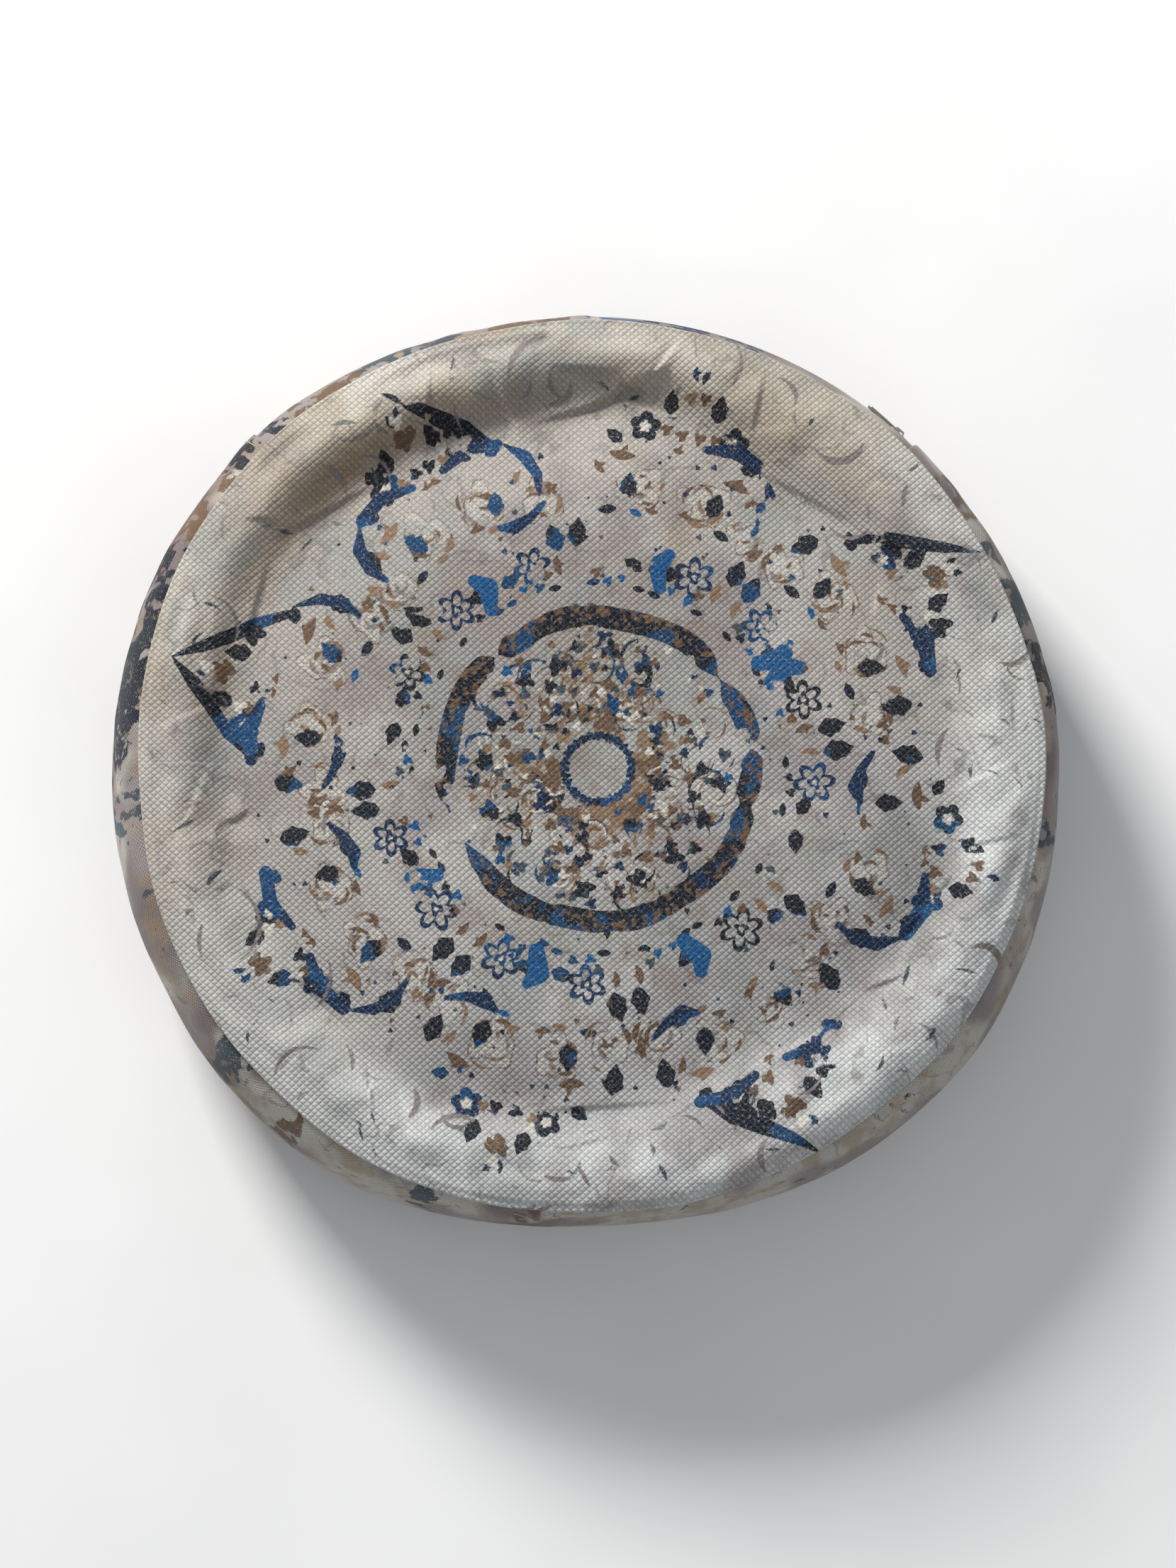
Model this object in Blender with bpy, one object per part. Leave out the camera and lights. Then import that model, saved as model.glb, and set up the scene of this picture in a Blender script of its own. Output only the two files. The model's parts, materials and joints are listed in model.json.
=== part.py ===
"""Round boxed floor cushion: a printed canvas cover with a zip at the back, over a fibre-filled insert.

Metres, +Z up. The origin is the middle of the base, where the cushion stands on the floor. The zip runs
round the back, +Y, and angles are counted anticlockwise from +X, seen from above.
"""

import math

import bmesh
import bpy
import numpy as np
from mathutils import Matrix, Vector

# Overall sizes
SEAM_RADIUS = 0.250  # top panel, out to its sewn edge
BASE_INSET = 0.004  # bottom panel's sewn edge in from the top panel's
BAND_BULGE = 0.012  # band at its widest out from the top panel's edge
SEAM_HEIGHT = 0.101  # floor to the top panel's sewn edge
DOME_RISE = 0.007  # middle of the top panel above its sewn edge

# Cloth and thread
CLOTH = 0.0010  # canvas
CASING = 0.0006  # insert's casing
THREAD = 0.0006
ALLOWANCE = 0.010  # cloth turned in at a seam
SEAM_LIP = 0.0015  # how far the panels' edges stand out over the band's
GAP = 0.0003  # between pieces that touch
LAP_GAP = 0.0006  # between the band's ends and the zip panels under them
INSERT_GAP = 0.0006  # between the insert and the cover

# Zip, across: sizes along the cloth, and out from it
ZIP_HEIGHT = 0.044  # floor to the zip's centre line
STITCH_INSET = 0.0026  # zip stitching in from those edges
TAPE = 0.0005
TAPE_WIDTH = 0.0140
COIL_WIDTH = 0.0022
COIL_HEIGHT = 0.0020
STOP_LENGTH = 0.0020
STOP_HEIGHT = 0.0023

# Zip, along: angles in degrees
ZIP_MIDDLE = 90.0
CHAIN_ANGLE = 86.0  # the coils, from stop to stop
BAND_OPENING = 90.0  # between the band's ends, where the zip shows
LAP_ANGLE = 5.0  # zip panel under each end of the band
TAPE_END_ANGLE = 1.0  # tape past each end of the coils

# Slider and pull tab
SLIDER_LENGTH = 0.0110
SLIDER_CORNER = 0.0016
SLIDER_PLATE = 0.0010
SLIDER_WALL = 0.0008
SLIDER_GAP = 0.0004  # between the slider and the coils and tapes it runs over
SIDE_GAP = 0.0010  # between the slider's sides and the zip panels' edges
STOP_GAP = 0.0005  # between the slider and a stop, at each end of its travel
POST_WIDTH = 0.0008
POST_LENGTH = 0.0030
BRIDGE_LENGTH = 0.0062
BRIDGE_WIDTH = 0.0020
BRIDGE_BAR = 0.0008
TAB_THICKNESS = 0.0010
TAB_LENGTH = 0.0230
TAB_WIDTH = 0.0062
TAB_RAIL = 0.0012  # each side of the eye
TAB_GAP = 0.0004  # between the tab and the slider
METAL_EDGE = 0.00018  # rounding of the metal's edges

# Facets
ROUND_STEPS = 72
FINE_STEP = 2.5  # degrees, for the zip's pieces
INSERT_STEPS = 36
DOME_RINGS = 7
FLAT_MARGIN = 0.0010  # of the band's flat facet at the zip, past each zip panel's edge
FACETS_BELOW_ZIP = 3
FACETS_ABOVE_ZIP = 4

# Heights, widths and radii that follow from the sizes above
BASE_RADIUS = SEAM_RADIUS - BASE_INSET
BAND_RADIUS = SEAM_RADIUS + BAND_BULGE
SEAM_HOLLOW = THREAD + 2 * GAP  # room for the thread inside a turned edge
FOLD = 2 * CLOTH + SEAM_HOLLOW  # a turned edge, outside to inside
BAND_TOP = SEAM_HEIGHT - FOLD - GAP
BAND_BOTTOM = FOLD + GAP
LAP = CLOTH + LAP_GAP  # zip panels' face in from the band's
ZIP_PANEL_TOP = BAND_TOP - CLOTH - GAP  # turned in under the band's own allowance
ZIP_PANEL_BOTTOM = BAND_BOTTOM + CLOTH + GAP
CHANNEL = POST_WIDTH + 2 * SLIDER_GAP  # between the two coils, where the slider's post runs
SLIDER_WIDTH = CHANNEL + 2 * (COIL_WIDTH + SLIDER_GAP + SLIDER_WALL + METAL_EDGE)
ZIP_OPENING = SLIDER_WIDTH + 2 * SIDE_GAP  # between the zip panels' edges
ZIP_FLAT = ZIP_OPENING + 2 * FLAT_MARGIN
BRIDGE_ROOM = math.sqrt(2) * TAB_THICKNESS + 2 * TAB_GAP  # under the bridge, for the tab's bar to turn
TAB_WAIST = BRIDGE_WIDTH + 2 * (TAB_GAP + TAB_RAIL)  # width at the eye
SLIDER_DEPTH = SLIDER_GAP + SLIDER_PLATE  # the slider behind the tapes
INSERT_SETBACK = LAP + CLOTH + GAP + TAPE + SLIDER_DEPTH + INSERT_GAP
PROBE = 0.0001  # half the step that the band's slope is measured over


def mix(low, high, share):
    """The value at a share of the way from low to high."""
    return low + (high - low) * share


def spaced(low, high, count):
    """Evenly spaced values from low to high, both included."""
    return [mix(low, high, i / (count - 1)) for i in range(count)]


def panel_height(radius):
    """Height of the top panel's outer face: a parabolic dome that stands on the sewn edge."""
    return SEAM_HEIGHT + DOME_RISE * (1 - (radius / SEAM_RADIUS) ** 2)


def band_curve(height):
    """Radius of the band's smooth curve: a straight line between its two edges, plus a parabola."""
    share = (height - BAND_BOTTOM) / (BAND_TOP - BAND_BOTTOM)
    edge = mix(BASE_RADIUS, SEAM_RADIUS, share) - SEAM_LIP
    bulge = BAND_RADIUS + SEAM_LIP - (BASE_RADIUS + SEAM_RADIUS) / 2
    return edge + bulge * (1 - (2 * share - 1) ** 2)


BAND_HEIGHTS = spaced(BAND_BOTTOM, ZIP_HEIGHT - ZIP_FLAT / 2, FACETS_BELOW_ZIP + 1)
BAND_HEIGHTS += spaced(ZIP_HEIGHT + ZIP_FLAT / 2, BAND_TOP, FACETS_ABOVE_ZIP + 1)


def band_radius(height):
    """Radius of the band's outer face, straight between BAND_HEIGHTS, so that its layers stay parallel."""
    return float(np.interp(height, BAND_HEIGHTS, [band_curve(z) for z in BAND_HEIGHTS]))


def heights_between(low, high):
    """The two heights, and those between them where the band's face bends."""
    return [low, *(z for z in BAND_HEIGHTS if low < z < high), high]


def zip_face(height):
    """Radius of the zip panels' outer face, which lies inside the band's ends."""
    return band_radius(height) - LAP


def insert_face(height):
    """Radius of the insert's side, which leaves room for the slider behind the tapes."""
    return band_radius(height) - INSERT_SETBACK


def insert_height(radius):
    """Height of the insert's top."""
    return panel_height(radius) - CLOTH - INSERT_GAP


ZIP_TILT = math.atan((zip_face(ZIP_HEIGHT + PROBE) - zip_face(ZIP_HEIGHT - PROBE)) / (2 * PROBE))
TAPE_OUT = -(CLOTH + GAP)  # the tapes' outer face, counted out from the zip panels' face
COIL_OUT = TAPE_OUT + GAP
COIL_TOP = COIL_OUT + COIL_HEIGHT
PLATE_OUT = COIL_TOP + SLIDER_GAP  # the slider's outer plate
SLIDER_FACE = PLATE_OUT + SLIDER_PLATE  # its face, which the bridge stands on
BRIDGE_TOP = SLIDER_FACE + BRIDGE_ROOM + BRIDGE_BAR
TAB_PIVOT = SLIDER_FACE + BRIDGE_ROOM / 2


def on_zip(up, out):
    """A point of the zip's cross-section: up the cloth from its centre line, and out from the zip panels."""
    radius = zip_face(ZIP_HEIGHT) + math.sin(ZIP_TILT) * up + math.cos(ZIP_TILT) * out
    return radius, ZIP_HEIGHT + math.cos(ZIP_TILT) * up - math.sin(ZIP_TILT) * out


def zip_frame(angle):
    """The zip's own axes at an angle in degrees: X along it anticlockwise, Y up the cloth and Z out of it."""
    turn = Matrix.Rotation(math.radians(angle + 90), 4, "Z")
    upright = Matrix.Rotation(math.radians(90) + ZIP_TILT, 4, "X")
    radius, height = on_zip(0, 0)
    return turn @ Matrix.Translation((0, -radius, height)) @ upright


def degrees_along(length):
    """The angle that a length takes up along the zip."""
    return math.degrees(length / on_zip(0, 0)[0])


def new_object(name, bm, material):
    """Turns a bmesh into a named, smooth-shaded object with one material."""
    bmesh.ops.remove_doubles(bm, verts=bm.verts, dist=1e-7)
    bmesh.ops.recalc_face_normals(bm, faces=bm.faces)
    mesh = bpy.data.meshes.new(name)
    bm.to_mesh(mesh)
    bm.free()
    mesh.shade_smooth()
    mesh.set_sharp_from_angle(angle=math.radians(35))
    mesh.materials.append(material)
    made = bpy.data.objects.new(name, mesh)
    bpy.context.scene.collection.objects.link(made)
    return made


def turned(name, material, profile, steps=ROUND_STEPS, start=0.0, sweep=360.0):
    """An object that is a (radius, height) outline turned about Z, with the ends of a partial turn capped."""
    bm = bmesh.new()
    turn = Matrix.Rotation(math.radians(start), 3, "Z")
    ring = [bm.verts.new(turn @ Vector((radius, 0, height))) for radius, height in profile]
    on_axis = profile[0][0] == 0 and profile[-1][0] == 0
    pairs = list(zip(ring, ring[1:])) + ([] if on_axis else [(ring[-1], ring[0])])
    edges = [bm.edges.new(pair) for pair in pairs]
    full = sweep == 360.0
    found = bmesh.ops.spin(
        bm,
        geom=edges + ring,
        cent=(0, 0, 0),
        axis=(0, 0, 1),
        angle=math.radians(sweep),
        steps=steps,
        use_merge=full,
        use_duplicate=False,
    )
    if not full:
        last = [v for v in found["geom_last"] if isinstance(v, bmesh.types.BMVert)]
        bm.faces.new(ring)
        bm.faces.new(last)
    return new_object(name, bm, material)


def along_zip(name, material, profile, start, end):
    """An outline carried along the zip in fine steps."""
    steps = max(1, round((end - start) / FINE_STEP))
    return turned(name, material, profile, steps, start, end - start)


def square(radius, height, side):
    """A square outline about a point."""
    half = side / 2
    return [
        (radius - half, height - half),
        (radius + half, height - half),
        (radius + half, height + half),
        (radius - half, height + half),
    ]


def block(low, high):
    """A box between two corners, as a bmesh."""
    bm = bmesh.new()
    middle = (Vector(low) + Vector(high)) / 2
    size = Vector(high) - Vector(low)
    bmesh.ops.create_cube(bm, size=1, matrix=Matrix.LocRotScale(middle, None, size))
    return bm


def plate(outline, low, high):
    """A flat outline in X and Y, raised from low to high, as a bmesh."""
    bm = bmesh.new()
    face = bm.faces.new([bm.verts.new((x, y, low)) for x, y in outline])
    raised = bmesh.ops.extrude_face_region(bm, geom=[face])["geom"]
    tops = [v for v in raised if isinstance(v, bmesh.types.BMVert)]
    bmesh.ops.translate(bm, verts=tops, vec=(0, 0, high - low))
    return bm


def combine(made, operation, others, material):
    """Adds or cuts a list of bmeshes with one Boolean, then rounds the edges."""
    group = bpy.data.collections.new(made.name + "_shapes")
    bpy.context.scene.collection.children.link(group)
    for number, bm in enumerate(others):
        shape = new_object(f"{made.name}_shape_{number}", bm, material)
        bpy.context.scene.collection.objects.unlink(shape)
        group.objects.link(shape)
        shape.parent = made
        shape.hide_render = True
        shape.display_type = "WIRE"
    boolean = made.modifiers.new("shapes", "BOOLEAN")
    boolean.operation = operation
    boolean.operand_type = "COLLECTION"
    boolean.collection = group
    boolean.solver = "EXACT"
    bevel = made.modifiers.new("edges", "BEVEL")
    bevel.width = METAL_EDGE
    bevel.segments = 1
    bevel.limit_method = "ANGLE"


def cushion_axis():
    """An empty on the cushion's axis, which the slider's travel turns about."""
    empty = bpy.data.objects.new("cushion_axis", None)
    bpy.context.scene.collection.objects.link(empty)
    return empty


def new_material(name, colour, roughness, metallic=0.0):
    """A plain Principled material."""
    material = bpy.data.materials.new(name)
    material.use_nodes = True
    shader = material.node_tree.nodes["Principled BSDF"]
    shader.inputs["Base Color"].default_value = (*colour, 1)
    shader.inputs["Roughness"].default_value = roughness
    shader.inputs["Metallic"].default_value = metallic
    return material


def make_top_panel(material):
    """The domed panel, whose edge folds under and runs back in as the seam allowance."""
    face = [(radius, panel_height(radius)) for radius in spaced(0, SEAM_RADIUS, DOME_RINGS)]
    under = SEAM_HEIGHT - FOLD
    allowance = [
        (SEAM_RADIUS, under),
        (SEAM_RADIUS - ALLOWANCE, under),
        (SEAM_RADIUS - ALLOWANCE, under + CLOTH),
        (SEAM_RADIUS - CLOTH, under + CLOTH),
        (SEAM_RADIUS - CLOTH, SEAM_HEIGHT - CLOTH),
    ]
    lining = [(radius, height - CLOTH) for radius, height in reversed(face[:-1])]
    turned("top_panel", material, face + allowance + lining)


def make_bottom_panel(material):
    """The flat base, whose edge folds up and runs back in."""
    outline = [
        (0, CLOTH),
        (BASE_RADIUS - CLOTH, CLOTH),
        (BASE_RADIUS - CLOTH, FOLD - CLOTH),
        (BASE_RADIUS - ALLOWANCE, FOLD - CLOTH),
        (BASE_RADIUS - ALLOWANCE, FOLD),
        (BASE_RADIUS, FOLD),
        (BASE_RADIUS, 0),
        (0, 0),
    ]
    turned("bottom_panel", material, outline)


def upright_cloth(face, low, high, turned_low, turned_high):
    """Outline of a strip of the band, with each end that meets a panel turned in as its allowance."""
    outside = [(face(z), z) for z in heights_between(low, high)]
    top = [(face(high) - ALLOWANCE, high), (face(high) - ALLOWANCE, high - CLOTH)] if turned_high else []
    bottom = [(face(low) - ALLOWANCE, low + CLOTH), (face(low) - ALLOWANCE, low)] if turned_low else []
    inner_high = high - CLOTH if turned_high else high
    inner_low = low + CLOTH if turned_low else low
    inside = [(face(z) - CLOTH, z) for z in reversed(heights_between(inner_low, inner_high))]
    return outside + top + inside + bottom


def make_side_band(material):
    """The long strip round the front and sides, open at the back where the zip is."""
    outline = upright_cloth(band_radius, BAND_BOTTOM, BAND_TOP, True, True)
    start = ZIP_MIDDLE + BAND_OPENING / 2
    sweep = 360 - BAND_OPENING
    turned("side_band", material, outline, round(ROUND_STEPS * sweep / 360), start, sweep)


def make_zip_panels(material):
    """The two strips above and below the zip, which run under the band's ends."""
    half = BAND_OPENING / 2 + LAP_ANGLE
    start, end = ZIP_MIDDLE - half, ZIP_MIDDLE + half
    upper_edge = on_zip(ZIP_OPENING / 2, 0)[1]
    lower_edge = on_zip(-ZIP_OPENING / 2, 0)[1]
    upper = upright_cloth(zip_face, upper_edge, ZIP_PANEL_TOP, False, True)
    lower = upright_cloth(zip_face, ZIP_PANEL_BOTTOM, lower_edge, True, False)
    along_zip("zip_panel_upper", material, upper, start, end)
    along_zip("zip_panel_lower", material, lower, start, end)


def make_tapes(material):
    """The zip's two tapes, which lie behind the zip panels and follow their curve."""
    half = CHAIN_ANGLE / 2 + TAPE_END_ANGLE
    for name, side in (("zip_tape_upper", 1), ("zip_tape_lower", -1)):
        near = on_zip(side * CHANNEL / 2, 0)[1]
        far = on_zip(side * (CHANNEL / 2 + TAPE_WIDTH), 0)[1]
        heights = heights_between(min(near, far), max(near, far))
        outside = [(zip_face(z) + TAPE_OUT, z) for z in heights]
        inside = [(zip_face(z) + TAPE_OUT - TAPE, z) for z in reversed(heights)]
        along_zip(name, material, outside + inside, ZIP_MIDDLE - half, ZIP_MIDDLE + half)


def make_coils(material):
    """The closed coils, as plain bars either side of the channel."""
    half = CHAIN_ANGLE / 2
    for name, side in (("zip_coil_upper", 1), ("zip_coil_lower", -1)):
        near = side * CHANNEL / 2
        far = side * (CHANNEL / 2 + COIL_WIDTH)
        corners = ((near, COIL_OUT), (far, COIL_OUT), (far, COIL_TOP), (near, COIL_TOP))
        outline = [on_zip(up, out) for up, out in corners]
        along_zip(name, material, outline, ZIP_MIDDLE - half, ZIP_MIDDLE + half)


def make_stops(material):
    """Two crimps at the closed end of the zip and one across both coils at the other."""
    gap = degrees_along(GAP)
    length = degrees_along(STOP_LENGTH)
    high = COIL_OUT + STOP_HEIGHT
    reach = CHANNEL / 2 + COIL_WIDTH
    closed_end = ZIP_MIDDLE - CHAIN_ANGLE / 2 - gap
    open_end = ZIP_MIDDLE + CHAIN_ANGLE / 2 + gap
    for name, side in (("zip_top_stop_upper", 1), ("zip_top_stop_lower", -1)):
        corners = ((side * CHANNEL / 2, COIL_OUT), (side * reach, COIL_OUT))
        corners += ((side * reach, high), (side * CHANNEL / 2, high))
        outline = [on_zip(up, out) for up, out in corners]
        turned(name, material, outline, 1, closed_end - length, length)
    corners = ((-reach, COIL_OUT), (reach, COIL_OUT), (reach, high), (-reach, high))
    outline = [on_zip(up, out) for up, out in corners]
    turned("zip_bottom_stop", material, outline, 1, open_end, length)


def slider_angle():
    """Where the slider stands when the zip is shut, in degrees."""
    return ZIP_MIDDLE - CHAIN_ANGLE / 2 + degrees_along(SLIDER_LENGTH / 2 + STOP_GAP)


def slider_outline():
    """Plan of the slider's plates: a rectangle with its corners cut."""
    x, y, cut = SLIDER_LENGTH / 2, SLIDER_WIDTH / 2, SLIDER_CORNER
    return [
        (x, y - cut),
        (x - cut, y),
        (cut - x, y),
        (-x, y - cut),
        (-x, cut - y),
        (cut - x, -y),
        (x - cut, -y),
        (x, cut - y),
    ]


def make_slider(material):
    """The slider: an outer plate with side walls and a bridge, a post between the coils, an inner plate."""
    inner_high = TAPE_OUT - TAPE - SLIDER_GAP
    root = SLIDER_PLATE / 2  # how deep each piece is set into a plate
    wall_low = TAPE_OUT + SLIDER_GAP
    wall_x = SLIDER_LENGTH / 2 - SLIDER_CORNER
    wall_y = SLIDER_WIDTH / 2 - METAL_EDGE
    post_x = METAL_EDGE - SLIDER_LENGTH / 2
    post_y = POST_WIDTH / 2
    inner = plate(slider_outline(), inner_high - SLIDER_PLATE, inner_high)
    post = block((post_x, -post_y, inner_high - root), (post_x + POST_LENGTH, post_y, PLATE_OUT + root))
    walls = []
    for side in (-1, 1):
        near, far = sorted((side * wall_y, side * (wall_y - SLIDER_WALL)))
        walls.append(block((-wall_x, near, wall_low), (wall_x, far, PLATE_OUT + root)))
    x, foot, arch = BRIDGE_LENGTH / 2, SLIDER_FACE - root, SLIDER_FACE + BRIDGE_ROOM
    leg = x - BRIDGE_BAR
    side_view = [(-x, foot), (-leg, foot), (-leg, arch), (leg, arch), (leg, foot), (x, foot)]
    side_view += [(x, arch), (leg, BRIDGE_TOP), (-leg, BRIDGE_TOP), (-x, arch)]
    bridge = plate(side_view, -BRIDGE_WIDTH / 2, BRIDGE_WIDTH / 2)
    bmesh.ops.rotate(bridge, verts=bridge.verts, matrix=Matrix.Rotation(math.radians(90), 3, "X"))
    shapes = [inner, post, *walls, bridge]
    made = new_object("zip_slider_body", plate(slider_outline(), PLATE_OUT, SLIDER_FACE), material)
    made.matrix_basis = zip_frame(slider_angle())
    combine(made, "UNION", shapes, material)
    made.parent = cushion_axis()
    return made


def make_pull_tab(material, slider):
    """The tab: its end bar lies under the slider's bridge, and its eye clears the bridge as it swings."""
    bar = TAB_THICKNESS / 2
    eye_width = BRIDGE_WIDTH / 2 + TAB_GAP
    eye_end = math.hypot(BRIDGE_LENGTH / 2, BRIDGE_TOP - TAB_PIVOT) + TAB_GAP
    neck, wide = TAB_WAIST / 2, TAB_WIDTH / 2
    corner = wide / 2
    outline = [(-bar, -neck), (eye_end, -neck), (TAB_LENGTH / 2, -wide), (TAB_LENGTH - corner, -wide)]
    outline += [(TAB_LENGTH, -wide + corner), (TAB_LENGTH, wide - corner)]
    outline += [(TAB_LENGTH - corner, wide), (TAB_LENGTH / 2, wide), (eye_end, neck), (-bar, neck)]
    made = new_object("zip_pull_tab", plate(outline, -bar, bar), material)
    made.parent = slider
    made.location = (0, 0, TAB_PIVOT)
    eye = block((bar, -eye_width, -TAB_THICKNESS), (eye_end, eye_width, TAB_THICKNESS))
    grip_low = (TAB_LENGTH - TAB_WIDTH, -corner / 2, -TAB_THICKNESS)
    grip = block(grip_low, (TAB_LENGTH - wide, corner / 2, TAB_THICKNESS))
    combine(made, "DIFFERENCE", [eye, grip], material)


def make_seam_threads(material):
    """The two seams of the cover, each a ring of thread in the hollow of a turned edge."""
    inset = CLOTH + GAP + THREAD / 2
    depth = CLOTH + SEAM_HOLLOW / 2
    top = square(SEAM_RADIUS - inset, SEAM_HEIGHT - depth, THREAD)
    turned("top_seam_thread", material, top)
    bottom = square(BASE_RADIUS - inset, depth, THREAD)
    turned("bottom_seam_thread", material, bottom)


def make_band_joint_threads(material):
    """An upright row at each end of the band, through the zip panels under it."""
    heights = heights_between(BAND_BOTTOM + ALLOWANCE / 2, BAND_TOP - ALLOWANCE / 2)
    outside = [(band_radius(z) + GAP + THREAD, z) for z in heights]
    inside = [(band_radius(z) + GAP, z) for z in reversed(heights)]
    width = degrees_along(THREAD)
    for name, side in (("band_joint_thread_right", -1), ("band_joint_thread_left", 1)):
        middle = ZIP_MIDDLE + side * (BAND_OPENING / 2 + LAP_ANGLE / 4)
        turned(name, material, outside + inside, 1, middle - width / 2, width)


def make_zip_stitching(material):
    """A row along each zip panel, near its edge, between the band's ends."""
    half = BAND_OPENING / 2 - degrees_along(GAP)
    for name, side in (("zip_stitching_upper", 1), ("zip_stitching_lower", -1)):
        radius, height = on_zip(side * (ZIP_OPENING / 2 + STITCH_INSET), 0)
        row = square(zip_face(height) + GAP + THREAD / 2, height, THREAD)
        along_zip(name, material, row, ZIP_MIDDLE - half, ZIP_MIDDLE + half)


def insert_seam(edge):
    """Radius of the insert's seam inside the cover's turned-in cloth, whose end lies at the given height."""
    return zip_face(edge) - ALLOWANCE - INSERT_GAP - THREAD - 2 * GAP


def insert_top_outline(inset):
    """The insert's top, from the middle out, an inset inside the casing's face."""
    radius = insert_seam(ZIP_PANEL_TOP) - inset
    return [(r, insert_height(r) - inset) for r in spaced(0, radius, DOME_RINGS)]


def insert_side_outline(inset):
    """The insert's side, from under the cover's top allowance down to above its bottom one."""
    high = ZIP_PANEL_TOP - CLOTH - INSERT_GAP - inset
    low = ZIP_PANEL_BOTTOM + CLOTH + INSERT_GAP + inset
    middle = [(insert_face(z) - inset, z) for z in reversed(heights_between(low, high))]
    top_corner = (insert_seam(ZIP_PANEL_TOP) - inset, high)
    bottom_corner = (insert_seam(ZIP_PANEL_BOTTOM) - inset, low)
    return [top_corner, *middle, bottom_corner]


def insert_floor(inset):
    """Height of the insert's underside."""
    return CLOTH + INSERT_GAP + inset


def make_insert_casing(material):
    """The casing's top, side and bottom, which meet at the seams."""
    top = insert_top_outline(0)
    under = [(radius, height - CASING) for radius, height in reversed(top)]
    turned("insert_top", material, top + under, INSERT_STEPS)
    rim = insert_height(insert_seam(ZIP_PANEL_TOP)) - CASING - GAP
    floor = insert_floor(CASING + GAP)
    high, low = insert_seam(ZIP_PANEL_TOP), insert_seam(ZIP_PANEL_BOTTOM)
    outside = [(high, rim)] + insert_side_outline(0) + [(low, floor)]
    inside = [(high - CASING, rim)] + insert_side_outline(CASING) + [(low - CASING, floor)]
    turned("insert_band", material, outside + inside[::-1], INSERT_STEPS)
    face, lining = insert_floor(0), insert_floor(CASING)
    base = [(0, lining), (low, lining), (low, face), (0, face)]
    turned("insert_bottom", material, base, INSERT_STEPS)


def make_insert_filling(material):
    """The fibre that fills the casing, as one solid."""
    inset = CASING + GAP
    low = insert_floor(inset)
    bottom = [(insert_seam(ZIP_PANEL_BOTTOM) - inset, low), (0, low)]
    outline = insert_top_outline(inset) + insert_side_outline(inset) + bottom
    turned("insert_filling", material, outline, INSERT_STEPS)


def make_insert_threads(material):
    """A ring of thread round each of the casing's seams."""
    out = GAP + THREAD / 2
    high, low = insert_seam(ZIP_PANEL_TOP), insert_seam(ZIP_PANEL_BOTTOM)
    top = square(high + out, insert_height(high) - CASING, THREAD)
    turned("insert_top_thread", material, top, INSERT_STEPS)
    bottom = square(low + out, insert_floor(CASING), THREAD)
    turned("insert_bottom_thread", material, bottom, INSERT_STEPS)


def main():
    for old in list(bpy.data.objects):
        bpy.data.objects.remove(old, do_unlink=True)
    top_canvas = new_material("top_canvas", (0.52, 0.47, 0.42), 0.95)
    band_canvas = new_material("band_canvas", (0.33, 0.28, 0.27), 0.95)
    base_canvas = new_material("base_canvas", (0.55, 0.48, 0.38), 0.95)
    zip_tape = new_material("zip_tape", (0.42, 0.36, 0.31), 0.9)
    zip_coil = new_material("zip_coil", (0.45, 0.38, 0.32), 0.45)
    zip_metal = new_material("zip_metal", (0.55, 0.52, 0.47), 0.35, 1.0)
    thread = new_material("thread", (0.50, 0.43, 0.36), 0.8)
    casing = new_material("casing", (0.80, 0.79, 0.76), 0.9)
    filling = new_material("filling", (0.85, 0.85, 0.84), 1.0)

    make_top_panel(top_canvas)
    make_side_band(band_canvas)
    make_bottom_panel(base_canvas)
    make_zip_panels(band_canvas)
    make_tapes(zip_tape)
    make_coils(zip_coil)
    make_stops(zip_metal)
    slider = make_slider(zip_metal)
    make_pull_tab(zip_metal, slider)
    make_seam_threads(thread)
    make_band_joint_threads(thread)
    make_zip_stitching(thread)
    make_insert_casing(casing)
    make_insert_filling(filling)
    make_insert_threads(thread)


if __name__ == "__main__":
    main()
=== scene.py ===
"""Looks of a round boxed floor cushion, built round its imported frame.

Metres, +Z up, with the middle of the base at the origin and the zip at the back, +Y. Angles are in degrees,
counted anticlockwise from +X as seen from above.
"""

import functools
import json
import math

import bmesh
import bpy
import numpy as np
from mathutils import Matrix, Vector


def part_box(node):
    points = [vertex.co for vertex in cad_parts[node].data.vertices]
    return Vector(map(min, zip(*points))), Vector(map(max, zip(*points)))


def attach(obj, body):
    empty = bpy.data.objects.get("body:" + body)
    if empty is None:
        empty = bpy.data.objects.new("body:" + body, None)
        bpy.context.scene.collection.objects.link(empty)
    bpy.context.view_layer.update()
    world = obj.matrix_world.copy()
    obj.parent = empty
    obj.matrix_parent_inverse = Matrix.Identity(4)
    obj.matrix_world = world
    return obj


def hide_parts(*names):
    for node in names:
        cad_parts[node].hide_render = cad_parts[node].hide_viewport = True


bl_info = {
    "name": "Round floor cushion",
    "version": (1, 0, 0),
    "blender": (4, 5, 0),
    "location": "View3D > Sidebar > Cushion",
    "description": "Dresses a round boxed floor cushion: printed canvas cover, zip, stitching and insert",
    "category": "Object",
}

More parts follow.
